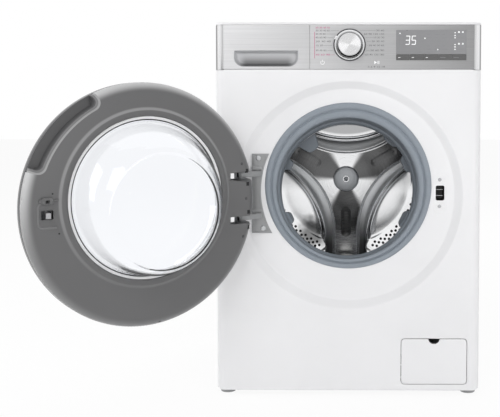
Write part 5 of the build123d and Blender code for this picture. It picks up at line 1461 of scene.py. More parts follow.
@dataclass
class ControlBand(Assembly):
    """The band of controls above the front.

    Attributes:
        pocket: Width, height and centre of the drawer's finger pocket.
        screen: Left, right, lower and upper edge of the display.
        key_top: Height at which the key strip ends.
        key_splits: Places between the keys.
    """

    pocket: tuple[float, float, Point] = (144.0, 35.0, (-185.0, 769.8))
    screen: tuple[float, float, float, float] = (107.0, 264.4, 765.4, 833.0)
    key_top: float = 778.6
    key_splits: Sequence[float] = (137.4, 170.5, 202.7, 232.6)

    def build(self) -> None:
        """Makes every piece of the band."""
        self.soften("control_fascia", SILVER_FILM, 0.5)
        self.soften("fascia_end_caps", CAP_FILM, 0.5)
        self.build_drawer()
        self.build_dial()
        self.build_screen()
        Prints(self).build()

    def build_drawer(self) -> None:
        """Makes the drawer's front with its finger pocket and dresses the tray."""
        width, height, centre = self.pocket
        pocket = rounded(width, height, (20.0, 20.0, 3.0, 3.0), centre, 10)
        outer = rounded(194.7, 99.0, 0.8, (-184.35, 795.1), 3)
        steps = [(0.8, 0.0), (0.2, 0.2), (-0.2, 0.9), (-2.2, 7.0), (-4.0, 13.0), (-5.0, 15.6), (-6.6, 16.8),
                 (-8.5, 17.0)]
        shape = Shape().fill([shifted(outer, -0.6), shifted(pocket, 0.8)], 0.0)
        shape.wall(outer, [(-0.6, 0.0), (-0.15, 0.15), (0.0, 0.6), (0.0, 20.0)])
        shape.wall(pocket, steps, 1)
        shape.fill([shifted(pocket, -8.5)], 17.0, 1)
        shape.fill([outer], 20.0)
        self.add("drawer_front_skin", shape, (SILVER_FILM, POCKET_GREY), "drawer", ("drawer_front",))
        self.dress(WHITE_PLASTIC, "drawer_tray")

    def build_dial(self) -> None:
        """Turns the dial's knob and the ring round it: bright steel within, painted dark reflection on its
        outer slope.
        """
        inner = [(28.4, 0.3), (28.4, -1.4), (29.0, -2.4), (30.4, -3.0), (33.4, -3.0)]
        outer = [(33.4, -3.0), (33.8, -2.6), (35.4, -2.4), (36.3, -1.2), (36.5, 0.3)]
        ring = Shape().lathe(inner, DIAL_AXIS, 160, 0).lathe(outer, DIAL_AXIS, 160, 1)
        self.add("dial_ring_skin", ring, (RING_STEEL, RING_DARK_REFLECTION), replaces=("dial_ring",))
        face = [(0, -25.3), (8, -25.35), (16, -25.5), (20.4, -25.8), (21.2, -26.0), (23.2, -25.95),
                (24.3, -25.5), (25.0, -24.5), (25.3, -22.8)]
        side = [(25.3, -22.8), (26.2, -14.0), (27.0, -6.0), (27.4, -2.2), (27.3, -1.2), (26.6, -0.7),
                (24, -0.6), (0, -0.6)]
        knob = Shape().lathe(face, DIAL_AXIS, 160, 0).lathe(side, DIAL_AXIS, 160, 1)
        self.add("dial_knob_skin", knob, (DIAL_FACE, DIAL_SIDE), "dial", ("dial_knob",))

    def build_screen(self) -> None:
        """Makes the display's window and its row of touch keys."""
        left, right, low, high = self.screen
        shape = Shape()
        tall, middle = high - self.key_top - 0.5, ((left + right) / 2, (high + self.key_top + 0.5) / 2)
        shape.slab(rounded(right - left, tall, 1.0, middle, 3), (), 0.0, 4.0, 0.3, 0.0, 0)
        edges = [left, *self.key_splits, right]
        for start, end in zip(edges, edges[1:]):
            middle = ((start + end) / 2, (low + self.key_top) / 2)
            key = rounded(end - start - 0.7, self.key_top - low - 0.3, 0.8, middle, 3)
            shape.slab(key, (), 0.35, 4.0, 0.3, 0.0, 1)
        self.add("display_skin", shape, (SCREEN, KEY_STRIP), replaces=("display_panel",))


@dataclass
class Prints:
    """Flat figures, lines and signs on the band; the figures are plain numbers.

    Attributes:
        band: The band that carries them.
        left_rows: Height, figures and width of each row left of the dial.
        right_rows: Height, figures and width of each row right of it.
        left_edge: Where the left column starts.
        right_edge: Where the right column ends.
        segments: Digits that the display shows.
        dots: Places of the display's round marks.
        squares: Places of its square marks.
    """

    band: ControlBand
    left_rows: Sequence[tuple[float, str, float]] = (
        (831.7, "20 30 40 60", 32.0), (824.0, "30 40 60", 22.0), (816.1, "40 60 90", 24.0),
        (807.5, "20 30 40", 34.0), (798.4, "15 30", 15.0), (787.5, "30 45 60", 24.0))
    right_rows: Sequence[tuple[float, str, float]] = (
        (831.7, "30 60", 18.0), (824.0, "60 90 120 150", 45.0), (816.1, "10 20 30", 23.0),
        (807.5, "20 30 40", 28.0), (798.4, "30 40 50 60", 34.0), (787.5, "30 60 90", 31.0),
        (777.7, "60 90 120 180", 42.0))
    left_edge: float = -73.9
    right_edge: float = 80.2
    segments: str = "35"
    dots: Sequence[Point] = (
        (115.43, 825.37), (171.27, 814.48), (200.10, 789.28), (238.69, 826.96), (238.69, 820.83),
        (238.69, 815.61), (238.69, 800.40), (238.69, 795.18), (238.69, 789.73))
    squares: Sequence[Point] = ((247.32, 828.32), (255.94, 828.32), (247.32, 802.22), (255.94, 802.22))

    def build(self) -> None:
        """Lays every print."""
        grey, white, magenta, dim = (Shape() for _ in range(4))
        middle, level = DIAL_AXIS
        for rows, sign in ((self.left_rows, -1.0), (self.right_rows, 1.0)):
            for height, _, wide in rows:
                ring = middle + sign * math.sqrt(39.5**2 - (height - level) ** 2)
                words = wide - 73.0 if sign < 0 else self.right_edge - wide
                self.bar(grey, (ring, height), (words - sign * 1.5, height), 0.4)
        self.bar(magenta, (-41.0, 777.7), (middle - 33.5, 777.7), 0.4)
        self.bar(magenta, (-76.0, 829.0), (-76.0, 769.5), 1.0)
        self.sign_power(white, (-58.2, 760.5))
        self.sign_play(white, (63.0, 760.5))
        self.bar(white, (-26.6, 820.2), (-30.9, 812.4), 2.6, -3.2)
        self.digits(white, dim)
        self.marks(white, dim)
        self.band.add("band_lines", grey, MARK_GREY)
        self.band.add("band_accent", magenta, MARK_MAGENTA)
        self.band.add("band_signs", white, MARK_WHITE)
        self.band.add("screen_dim_marks", dim, MARK_DIM)
        for name, rows, edge, finish in (
            ("left", self.left_rows, self.left_edge, MARK_GREY),
            ("lowest", ((777.7, "40 60 90", 32.0),), self.left_edge, MARK_MAGENTA),
            ("highest", ((838.2, "20 30 40 50", 32.0),), self.left_edge, MARK_MAGENTA),
            ("right", self.right_rows, self.right_edge, MARK_GREY),
            ("low", ((750.6, "3 6 9 12 18", 38.0),), 82.0, MARK_GREY),
        ):
            self.figures("band_figures_" + name, rows, edge, finish)

    @staticmethod
    def bar(shape: Shape, start: Point, end: Point, width: float, depth: float = -0.12) -> None:
        """Lays a straight flat bar.

        Args:
            shape: Shape that it joins.
            start: One end.
            end: Other end.
            width: Width of the bar.
            depth: Depth of its face.
        """
        way = (Vector(end) - Vector(start)).normalized() * (width / 2)
        side = Vector((-way.y, way.x))
        corners = [Vector(start) - side, Vector(end) - side, Vector(end) + side, Vector(start) + side]
        shape.slab([tuple(corner) for corner in corners], (), depth, depth + 0.3, 0.0)

    def sign_power(self, shape: Shape, centre: Point) -> None:
        """Lays an open ring with an upright bar.

        Args:
            shape: Shape that it joins.
            centre: Its middle.
        """
        x, y = centre
        turns = [math.radians(125 + 290 * step / 28) for step in range(29)]
        outer, inner = ([(x + radius * math.cos(turn), y + radius * math.sin(turn)) for turn in turns]
                        for radius in (4.6, 3.7))
        shape.slab(outer + inner[::-1], (), -0.12, 0.2, 0.0)
        self.bar(shape, (x, y + 1.0), (x, y + 6.0), 0.9)

    def sign_play(self, shape: Shape, centre: Point) -> None:
        """Lays a triangle beside two bars.

        Args:
            shape: Shape that it joins.
            centre: Its middle.
        """
        x, y = centre
        shape.slab([(x - 5.0, y - 3.6), (x + 1.0, y), (x - 5.0, y + 3.6)], (), -0.12, 0.2, 0.0)
        for aside in (x + 3.0, x + 5.6):
            self.bar(shape, (aside, y - 3.6), (aside, y + 3.6), 1.1)

    def digits(self, lit: Shape, dim: Shape) -> None:
        """Lays the display's figures of seven bars each, the first one unlit.

        Args:
            lit: Shape of the bright marks.
            dim: Shape of the dim marks.
        """
        table = {"3": "abgcd", "5": "afgcd", "8": "abcdefg"}
        wide, tall = 8.4, 18.5
        half = tall / 2
        spots = {"a": ((0, tall), (wide, tall)), "b": ((wide, half), (wide, tall)),
                 "c": ((wide, 0), (wide, half)), "d": ((0, 0), (wide, 0)), "e": ((0, 0), (0, half)),
                 "f": ((0, half), (0, tall)), "g": ((0, half), (wide, half))}
        for place, figure in enumerate("8" + self.segments):
            left = 115.0 + place * 13.6
            for name, spot in spots.items():
                on = place > 0 and name in table[figure]
                ends = [(left + x + (y - half) * 0.08, 801.0 + y) for x, y in spot]
                self.bar(lit if on else dim, *ends, 1.9 if on else 1.2, -0.1 if on else -0.04)

    def marks(self, lit: Shape, dim: Shape) -> None:
        """Lays the display's small marks, key bars and dividing lines.

        Args:
            lit: Shape of the bright marks.
            dim: Shape of the dim marks.
        """
        for centre in self.dots:
            lit.slab(circle(1.5, centre, 14), (), -0.1, 0.2, 0.0)
        for centre in self.squares:
            lit.slab(rounded(3.8, 3.6, 0.6, centre, 2), (), -0.1, 0.2, 0.0)
        splits = self.band.key_splits
        keys = [(lit, left, 5.0) for left in (111.57, 141.99, 173.31)]
        keys += [(dim, left + 3.0, 12.0) for left in splits[2:4]]
        for shape, left, wide in keys:
            self.bar(shape, (left, 771.6), (left + wide, 771.6), 1.1, 0.24)
        for left, height in ((152.0, 808.1), (112.0, 783.6)):
            self.bar(dim, (left, height), (259.0, height), 0.5, -0.04)
        for row, height in enumerate((823.0, 815.5, 797.5, 790.0)):
            for place in range(5):
                left, wide = 176.0 + place * 17.0, 6.0 + 5.0 * ((place * 3 + row) % 2)
                self.bar(dim, (left, height), (left + wide, height), 1.6, -0.04)

    def figures(
        self, name: str, rows: Sequence[tuple[float, str, float]], edge: float, finish: Finish
    ) -> None:
        """Lays a column of numbers.

        Args:
            name: Name of the piece.
            rows: Height, figures and width of each row.
            edge: Place of the column's left edge, or of its right edge right of the dial.
            finish: The print's finish.
        """
        shape = Shape(Matrix.Identity(4))
        for height, figure, wide in rows:
            words = bpy.data.curves.new(name, "FONT")
            words.body, words.size, words.align_y = figure, 6.0, "CENTER"
            words.align_x = "LEFT" if edge < 0 else "RIGHT"
            words.extrude = 0.1
            flat = finished_mesh(linked(name, words))
            across = [vertex.co.x for vertex in flat.vertices]
            stretch = Matrix.Diagonal((wide / (max(across) - min(across)), 0.85, 1.0, 1.0))
            flat.transform(FACE @ Matrix.Translation((edge, height, -0.05)) @ stretch)
            shape.mesh.from_mesh(flat)
        self.band.add(name, shape, finish)


@dataclass
class DoorSeal(Assembly):
    """The rubber gasket between the cabinet's mouth and the tub.

    Attributes:
        profile: Radius, depth and height of the centre along its visible skin.
        skin: Radius of the skin that carries the lumps.
        lumps: Angle in degrees, width and inner reach of each moulded lump.
    """

    profile: Sequence[tuple[float, float, float]] = (
        (189.6, 26.0, 481.0), (190.6, 21.0, 481.0), (190.2, 16.0, 481.0), (189.0, 12.8, 481.0),
        (186.8, 10.8, 481.0), (183.5, 9.8, 480.8), (180.0, 9.8, 480.4), (177.8, 11.0, 480.0),
        (176.4, 13.4, 479.6), (175.2, 16.0, 479.2), (174.0, 16.2, 478.8), (172.8, 14.6, 478.4),
        (171.0, 13.8, 478.0), (168.0, 13.9, 477.4), (165.0, 14.9, 476.6), (162.6, 16.9, 475.6),
        (161.2, 20.0, 474.6), (160.4, 26.0, 473.6), (159.6, 35.0, 472.0), (159.0, 41.0, 470.8),
        (158.2, 44.8, 469.8), (157.0, 45.6, 469.2), (155.4, 47.4, 468.6), (153.8, 51.0, 468.0),
        (152.8, 55.0, 467.4), (152.8, 58.6, 466.8), (153.8, 61.0, 466.2), (156.0, 61.8, 465.4),
        (157.4, 63.6, 464.8), (157.4, 66.0, 464.4), (156.2, 68.4, 464.0), (155.4, 72.0, 463.6),
        (155.2, 80.0, 463.4), (155.2, 88.0, 463.2), (155.4, 95.0, 463.0))
    skin: float = 159.0
    lumps: Sequence[tuple[float, float, float]] = (
        (128.4, 40.0, 125.0), (155.8, 26.0, 143.0), (25.0, 44.0, 143.0), (-26.2, 45.0, 140.0),
        (204.7, 31.0, 143.0), (50.0, 40.0, 149.0))

    def build(self) -> None:
        """Moulds the seal and its lumps in one piece."""
        shape = Shape()
        rings = []
        for radius, depth, height in self.profile:
            aside = -3.0 * min(1.0, max(0.0, (481.0 - height) / 14.0)) if depth < 60.0 else -0.5
            rings.append(raised(circle(radius, (aside, height), 224), depth))
        shape.skin(rings)
        for lump in self.lumps:
            shape.slab(self.lump(*lump), (), 91.0, 104.0, 3.0, 1.0)
        start, end = (0.0, (FRONT + 20) * MM, 0.668), (0.0, (FRONT + 90) * MM, 0.668)
        self.add("gasket_skin", shape, SEAL, replaces=("door_gasket",), across=("cabinet", "tub", start, end))

    def lump(self, angle: float, width: float, reach: float) -> Loop:
        """Gives a lump's outline, along the seal's skin and back round its inner end.

        Args:
            angle: Its direction in degrees.
            width: Its width at the inner end.
            reach: Radius of the inner end.

        Returns:
            The loop, anticlockwise.
        """
        middle, half = math.radians(angle), width / reach / 2
        spots = [(self.skin, -1.15 + 2.3 * step / 12) for step in range(13)]
        for share in [1.0 - 2.0 * step / 24 for step in range(25)]:
            spots.append((reach + (self.skin - reach) * abs(share) ** 5, share))
        turns = [(radius, middle + half * share) for radius, share in spots]
        return [(radius * math.cos(turn), AXIS_HEIGHT + radius * math.sin(turn)) for radius, turn in turns]


@dataclass
class Drum(Assembly):
    """The drum: its wall, the star-shaped back with hollows and perforations, lifters and hub.

    Attributes:
        wall: Outer radius of the wall.
        far: Depth at which the wall meets the back.
        face: Depth of the back's face.
        hollow_turns: Angles of the hollows.
        arm_turns: Angles of the arms and lifters.
        field_edge: Radius inside which the perforated field is at its deepest.
        inner_away: Distance from the axis of the centre round which a hollow's inner arcs run.
    """

    body: str = "drum"
    wall: float = 260.8
    far: float = 446.0
    face: float = 432.0
    hollow_turns: Sequence[float] = (90.0, 210.0, 330.0)
    arm_turns: Sequence[float] = (270.0, 30.0, 150.0)
    field_edge: float = 181.0
    inner_away: float = 353.0

    def build(self) -> None:
        """Makes every piece of the drum."""
        self.build_wall()
        self.build_back()
        self.build_hub()
        self.build_holes()
        self.soften("drum_lifters", LIFTER_STEEL, 1.5)
        self.dress(ALUMINIUM, "drum_spider")
        self.dress(MACHINED, "motor_rotor")

    def build_wall(self) -> None:
        """Rolls the drum's wall with its front lip and beads."""
        profile = [(160.0, 106.0), (159.4, 104.6), (159.4, 102.0), (160.6, 99.6), (163.5, 98.2),
                   (168.0, 98.0), (238.0, 98.0), (250.0, 99.6), (257.0, 103.6), (260.4, 110.0),
                   (self.wall, 118.0)]
        for depth in (150.0, 155.0, 400.0, 405.0):
            bead = ((0.0, -4.0), (1.4, -1.5), (1.4, 1.5), (0.0, 4.0))
            profile += [(self.wall - low, depth + step) for low, step in bead]
        profile += [(self.wall, 436.0), (258.8, 441.6), (254.0, self.far)]
        shape = Shape().lathe(profile, DRUM_AXIS, 192)
        self.add("drum_wall_skin", shape, SHELL_STEEL, replaces=("drum_shell",), wall=0.8)

    @staticmethod
    def lens(turn: float, away: float, radius: float, disc: float, corner: float) -> Loop:
        """Gives a hollow's outline: an arc that runs on straight beside the arms, and rounded corners.

        Args:
            turn: Direction of the hollow in degrees.
            away: Distance of the inner arc's centre from the axis.
            radius: Radius of the inner arc.
            disc: Radius of the outer arc, about the axis.
            corner: Softness of the corners.

        Returns:
            The loop, anticlockwise.
        """
        loop = []
        cosine, sine = math.cos(math.radians(60.0)), math.sin(math.radians(60.0))
        for angle in [math.tau * step / 180 for step in range(180)]:
            low, high = 0.0, 240.0
            for _ in range(26):
                reach = (low + high) / 2
                x, y = 145.0 + reach * math.cos(angle), reach * math.sin(angle)
                first, second = math.hypot(x - away, y) - radius, math.hypot(x, y) - disc
                if x * cosine + abs(y) * sine > away * cosine:
                    first = away * sine - radius - x * sine + abs(y) * cosine
                peak = max(first, second)
                spill = sum(math.exp((past - peak) / corner) for past in (first, second))
                low, high = (reach, high) if peak + corner * math.log(spill) < 0 else (low, reach)
            loop.append((145.0 + low * math.cos(angle), low * math.sin(angle)))
        return about_drum(loop, turn)

    def build_back(self) -> None:
        """Presses the back: the star, three hollows with their strips, and the dimples on the arms."""
        shape = Shape()
        holes = [self.hollow(shape, turn) for turn in self.hollow_turns]
        holes += [self.dimple(shape, turn) for turn in self.arm_turns]
        shape.fill([circle(236.5, DRUM_AXIS, 192), *holes], self.face, 0)
        rim = ((236.5, 0.0), (240.0, -0.3), (246.0, -1.0), (252.0, -0.6), (256.0, 1.6), (258.6, 5.0),
               (259.6, 12.0))
        shape.lathe([(radius, self.face + deep) for radius, deep in rim], DRUM_AXIS, 192, 2)
        finishes = (STAR_STEEL, BAND_STEEL, FLOOR_STEEL, DIMPLE_DARK_REFLECTION, EDGE_STEEL)
        self.add("drum_back_skin", shape, finishes, replaces=("drum_back",), wall=1.2)

    def hollow(self, shape: Shape, turn: float) -> Loop:
        """Presses one hollow with the strip round it and the perforated field outside it.

        Args:
            shape: The back's shape.
            turn: Direction of the hollow in degrees.

        Returns:
            The outline at the face.
        """
        rim = [(3.2, 0.0), (2.6, 0.04), (0.4, 0.3), (-0.6, 1.3), (-1.6, 3.2), (-2.8, 4.6), (-4.6, 5.0)]
        rows = [(self.lens(turn, 282.5, 213.0 + out, 232.0 + out, 3.0), deep) for out, deep in rim]
        self.press(shape, rows, 4)
        step = [(self.lens(turn, self.inner_away, 251.7 - out, 226.0 - out, 3.5), share)
                for out, share in ((0.0, 0.0), (1.2, 0.12), (2.2, 0.6), (3.2, 1.0))]
        pairs = list(zip(rows[-1][0], step[0][0]))
        strip = [([(a + (c - a) * share, b + (d - b) * share) for (a, b), (c, d) in pairs],
                  5.0 - 7.2 * share * (1.0 - share)) for share in [place / 6 for place in range(7)]]
        self.press(shape, strip, 1)
        self.blend_rows(shape, step, lambda x, y: self.face + 5.0, self.field)
        edges = [(self.lens(turn, self.inner_away, 247.0 - out, self.field_edge - out, 3.5), share)
                 for out, share in ((0.0, 0.0), (1.8, 0.25), (3.6, 0.62), (6.2, 0.9), (9.0, 1.0))]
        shape.fill([step[-1][0], edges[0][0]], self.field, 2)

        def floor(x: float, y: float) -> float:
            """Depth of this hollow's floor."""
            return self.floor(x, y, turn)

        self.blend_rows(shape, edges, self.field, floor)
        inner = edges[-1][0]
        extra = [point for share in (0.75, 0.5, 0.25) for point in self.shrunk(inner, share)]
        shape.fill([inner], floor, 2, extra)
        return rows[0][0]

    def press(self, shape: Shape, rows: Sequence[tuple[Loop, float]], finish: int) -> None:
        """Spans the surface between outlines at so many millimetres behind the face."""
        shape.skin([raised(loop, self.face + deep) for loop, deep in rows], True, finish)

    @staticmethod
    def blend_rows(shape: Shape, rows: Sequence[tuple[Loop, float]], first: Callable, last: Callable) -> None:
        """Spans loops whose depth passes from one surface to another.

        Args:
            shape: The back's shape.
            rows: Loops with the share of the last surface.
            first: Depth of the first surface at a point.
            last: Depth of the last surface at a point.
        """
        rings = [[Vector((x, y, first(x, y) * (1.0 - share) + last(x, y) * share)) for x, y in loop]
                 for loop, share in rows]
        shape.skin(rings, True, 2)

    def field(self, x: float, y: float) -> float:
        """Depth of the perforated field, which comes forward towards the rim."""
        return self.face + 7.0 - 0.21 * max(0.0, math.dist((x, y), DRUM_AXIS) - self.field_edge)

    def floor(self, x: float, y: float, turn: float) -> float:
        """Depth of a hollow's floor, which leans towards the drum's axis."""
        way = math.radians(turn)
        reach = x * math.cos(way) + (y - AXIS_HEIGHT) * math.sin(way)
        return self.face + 7.0 + 5.7 * (1.2 - 1.1 * min(1.0, max(0.0, (reach - 105.0) / 76.0)))

    @staticmethod
    def shrunk(loop: Loop, share: float) -> Loop:
        """The outline drawn towards its own middle."""
        x, y = (sum(point[axis] for point in loop) / len(loop) for axis in (0, 1))
        return [(x + (a - x) * share, y + (b - y) * share) for a, b in loop]

    def dimple(self, shape: Shape, turn: float) -> Loop:
        """Presses the long dimple of one arm, deepest on the lowest one, which is dressed in painted dark
        reflection.

        Args:
            shape: The back's shape.
            turn: Angle of the arm in degrees.

        Returns:
            The outline of the dimple at the face.
        """
        plain = rounded(76.0, 22.0, 10.9, (118.0, 0.0), 8)
        # The lowest dimple takes the near-black steel, a painted dark reflection.
        finish, share = (3, 1.0) if turn == self.arm_turns[0] else (0, 0.3)
        steps = [(2.5, 0.0), (1.2, 0.12), (-0.2, 0.5), (-2.0, 1.2), (-4.4, 1.9), (-7.5, 2.1)]
        rows = [(about_drum(shifted(plain, out), turn), deep * share) for out, deep in steps]
        self.press(shape, rows, finish)
        shape.fill([rows[-1][0]], self.face + rows[-1][1], finish)
        return rows[0][0]

    def build_hub(self) -> None:
        """Turns the hub's cap with its screw and washer."""
        cap = [(0, 428.0), (5.2, 428.0), (5.6, 427.4), (6.2, 426.4), (30.0, 426.6), (32.6, 427.4),
               (34.2, 429.2), (34.7, 431.4), (34.7, 432.6), (0, 432.6)]
        screw = [(0, 425.6), (2.0, 425.8), (3.8, 426.6), (4.5, 427.8), (4.5, 429.0), (0, 429.0)]
        washer = [(6.3, 426.6), (6.7, 426.1), (8.3, 426.1), (8.9, 426.7)]
        shape = Shape().lathe(cap, DRUM_AXIS, 96).lathe(screw, DRUM_AXIS, 48).lathe(washer, DRUM_AXIS, 64, 1)
        self.add("hub_cap_skin", shape, (HUB_STEEL, EDGE_STEEL), replaces=("hub_cap",))

    def build_holes(self) -> None:
        """Lays the perforations as black discs, painted shade in place of holes, in rings on the back and
        rows on the wall.
        """
        height = AXIS_HEIGHT * MM
        common = {"Stagger": 0.5, "Keep_From": math.radians(90), "Keep_Repeat": 3.0}
        disc = Shape(UPRIGHT).slab(circle(3.6, (0, 0), 14), (), -0.5, 0.5, 0.0)
        self.repeat("back_perforations", disc, Spread.RING, HOLE_SHADE_BLACK, Count=66, Rows=3, Radius=0.190,
                    Row_Step=(0.0062, -0.0013, 0.0), Keep_To=-0.45,
                    Centre=(0.0, (FRONT + self.face + 4.6) * MM, height), **common)
        disc = Shape(SIDEWAYS).slab(circle(2.2, (0, 0), 8), (), -0.06, 0.06, 0.0)
        self.repeat("wall_perforations", disc, Spread.RING, HOLE_SHADE_BLACK, Count=84, Rows=14,
                    Radius=(self.wall - 1.0) * MM, Row_Step=(0.0, 0.0165, 0.0), Keep_To=-0.8,
                    Centre=(0.0, (FRONT + 168.0) * MM, height), **common)


@dataclass
class Door(Assembly):
    """The open door: grey inner ring, glass bowl, outer cover, hinge plate and latch.

    Attributes:
        bowl: Outwards, radius and lift of the bowl's outer skin.
        bowl_wall: Thickness of the glass.
        rim: Radius of the door.
        rim_round: Radius of its rounded rim.
        rim_depth: Depth of the inner ring.
        pocket: First and last angle, inner radius and depth of the grip pocket.
        slots: Heights of the two slots for the hinge arms above the door's centre.
        slot_start: Place at which the slots start.
        slot_half: Half their height.
        latch: Place of the latch's frame.
        latch_edge: Corners of the opening for the latch.
    """

    body: str = "door"
    bowl: Sequence[tuple[float, float, float]] = (
        (12.0, 180.0, 16.0), (8.6, 180.0, 16.0), (8.6, 166.0, 16.0), (7.0, 162.0, 16.0), (2.0, 159.8, 15.6),
        (-15.0, 155.0, 13.6), (-30.0, 150.8, 11.2), (-44.0, 146.6, 8.4), (-54.0, 143.0, 6.0),
        (-63.0, 139.2, 3.6), (-70.0, 135.0, 1.4), (-76.0, 130.8, -0.4), (-80.6, 126.4, -1.8),
        (-84.2, 122.0, -2.8), (-86.6, 119.4, -3.4), (-88.2, 117.6, -3.6), (-88.8, 115.8, -3.6),
        (-88.6, 113.8, -3.6), (-88.0, 111.0, -3.6), (-87.2, 107.0, -3.6), (-86.6, 101.0, -3.6),
        (-86.3, 92.0, -3.6), (-86.2, 50.0, -3.6), (-86.2, 0.0, -3.6))
    bowl_wall: float = 4.0
    rim: float = 254.0
    rim_round: float = 22.0
    rim_depth: float = 28.0
    pocket: tuple[float, float, float, float] = (114.5, 162.0, 225.0, 26.0)
    slots: Sequence[float] = (-46.0, 50.0)
    slot_start: float = 190.0
    slot_half: float = 8.0
    latch: Point = (-208.9, -5.0)
    latch_edge: Sequence[Point] = ((-220.9, -14.0), (-196.9, -14.0), (-196.9, 4.0), (-220.9, 4.0))

    def build(self) -> None:
        """Makes every piece of the door."""
        self.build_ring()
        self.build_latch_frame()
        self.build_ring_details()
        self.soften("door_outer_shell", CHROME_DARK, 0.6)
        self.soften("door_hinge_plate", ZINC_DARK, 0.5)
        self.soften("latch_hook", HOOK_GREY, 0.4, "latch")
        self.build_bowl()
        self.add("window_skin", soft_copy("door_window", 0.0), WINDOW, replaces=("door_window",))

    def relief(self, x: float, y: float) -> float:
        """Depth of the ring's face at a point: rounded towards the rim, raised towards the glass."""
        past = min(max(math.hypot(x, y) - (self.rim - self.rim_round), 0.0), self.rim_round)
        near = min(1.0, max(0.0, (187.5 - math.dist((x, y), GLASS_AXIS)) / 7.5))
        return self.rim_round - math.sqrt(max(self.rim_round**2 - past**2, 0.0)) - 3.2 * near**2

    def pocket_edge(self, inset: float) -> Loop:
        """Gives the pocket's edge from rim to rim, at so many millimetres into the pocket.

        Args:
            inset: Distance from the face's edge into the pocket.

        Returns:
            An open chain, anticlockwise about the door.
        """
        start, end, low, _ = self.pocket
        mean, corner = 238.0, 17.0 - inset * 0.6
        first, last = math.radians(start) * mean + inset, math.radians(end) * mean - inset
        low += inset
        chain = [(first, self.rim - (self.rim - low - corner) * step / 6) for step in range(7)]
        for angle in [math.pi / 2 * turn / 8 for turn in range(1, 9)]:
            chain.append((first + corner * (1 - math.cos(angle)), low + corner * (1 - math.sin(angle))))
        inner = last - first - 2 * corner
        chain += [(first + corner + inner * step / 40, low) for step in range(1, 40)]
        back = [(first + last - s, r) for s, r in chain[14::-1]]
        return [(r * math.cos(s / mean), r * math.sin(s / mean)) for s, r in chain + back]

    def arc(self, start: float, end: float) -> Loop:
        """Gives points on the rim between two angles in degrees."""
        spans = max(2, round((end - start) / 1.5))
        turns = [math.radians(start + (end - start) * place / spans) for place in range(spans + 1)]
        return [(self.rim * math.cos(turn), self.rim * math.sin(turn)) for turn in turns]

    def build_ring(self) -> None:
        """Moulds the inner ring with its rounded rim, step, grip pocket and slots."""
        shape = Shape(DOOR)
        ends, notches = [], []
        for lift in self.slots:
            levels = (lift - self.slot_half, lift + self.slot_half)
            ends += [math.degrees(math.asin(level / self.rim)) for level in levels]
            notches.append([(self.slot_start, level) for level in levels])
        lower, upper = notches
        edges = [self.arc(ends[1], ends[2]), self.arc(ends[3], self.pocket[0]),
                 self.arc(self.pocket[1], 360.0 + ends[0])]
        outline = edges[0] + upper + edges[1] + self.pocket_edge(0.0)[1:-1] + edges[2] + lower
        window = list(self.latch_edge)
        clear = [shifted(window, 1.0)]
        extra = []
        for centre, radii in (((0.0, 0.0), (253.2, 251.6, 249.2, 246.0, 242.0, 237.5, 232.0)),
                              (GLASS_AXIS, (187.5, 186.2, 185.0, 183.8, 182.6, 181.3))):
            spots = [point for radius in radii for point in circle(radius, centre, 240)]
            extra += [point for point in spots if self.free(point, outline) and not inside(*point, clear)]
        shape.fill([outline, circle(180.0, GLASS_AXIS, 192), window], self.relief, 0, extra)
        shape.lathe([(180.0, -3.2), (179.2, -3.4), (178.0, -3.5), (171.0, -3.5), (169.6, -3.1), (168.8, -2.2),
                     (168.5, -0.8), (168.5, 8.0)], GLASS_AXIS, 192)
        for chain in edges:
            self.curtain(shape, chain, (self.relief, self.rim_depth))
        # The walls of the slots and the latch window are in the darker grip grey: painted shade.
        for chain in ([edges[2][-1], *lower, edges[0][0]], [edges[0][-1], *upper, edges[1][0]]):
            self.curtain(shape, chain, (self.relief, 26.0), 1)
        self.curtain(shape, [*window, window[0]], (self.relief, 12.0), 1)
        self.build_grip(shape)
        finishes = (RING_GREY, GRIP_SHADE_GREY, LIP_HIGHLIGHT_GREY, EDGE_HIGHLIGHT_GREY)
        self.add("ring_skin", shape, finishes, replaces=("door_ring",), wall=2.4)

    @staticmethod
    def free(point: Point, outline: Loop) -> bool:
        """Whether a point lies inside the outline and clear of its edge."""
        near = min((point[0] - x) ** 2 + (point[1] - y) ** 2 for x, y in outline)
        return near > 0.5 and inside(*point, [outline])

    @staticmethod
    def curtain(shape: Shape, chain: Loop, levels: Sequence[Depth], finish: int = 0) -> None:
        """Runs a wall along an open chain, from the first depth to the last."""
        shape.skin([raised(chain, level) for level in levels], False, finish)

    def build_grip(self, shape: Shape) -> None:
        """Sinks the grip pocket with its double lip.

        Args:
            shape: The ring's shape.
        """
        deep = self.pocket[3]
        steps = [(0.0, 0.0), (1.2, 0.25), (2.4, 1.0), (3.4, 2.0), (7.4, 4.2), (8.2, 5.0), (8.8, 7.0),
                 (9.4, deep - 3.0), (10.2, deep - 1.0), (11.6, deep)]
        rings = [[Vector((x, y, min(self.relief(x, y) + drop, deep))) for x, y in self.pocket_edge(inset)]
                 for inset, drop in steps]
        # The rounded edge and lip are paler, painted highlight; the pocket's depth is darker, painted shade.
        for part, finish in ((rings[:4], 3), (rings[3:5], 2), (rings[4:], 1)):
            shape.skin(part, False, finish)
        last = self.pocket_edge(steps[-1][0])
        floor = self.arc(*[math.degrees(math.atan2(y, x)) for x, y in (last[0], last[-1])])[1:-1]
        shape.fill([last + floor[::-1]], deep, 1)
        self.curtain(shape, [last[0], *floor, last[-1]], (deep, self.rim_depth), 1)

    def build_latch_frame(self) -> None:
        """Adds the latch's ridge, its guide and the plate behind it."""
        path = [(-190.0, -30.5), (-218.0, -30.5), (-222.6, -29.4), (-225.6, -26.6), (-226.8, -22.0),
                (-226.8, 9.0), (-225.6, 13.6), (-222.6, 16.4), (-218.0, 17.5), (-212.0, 17.5)]
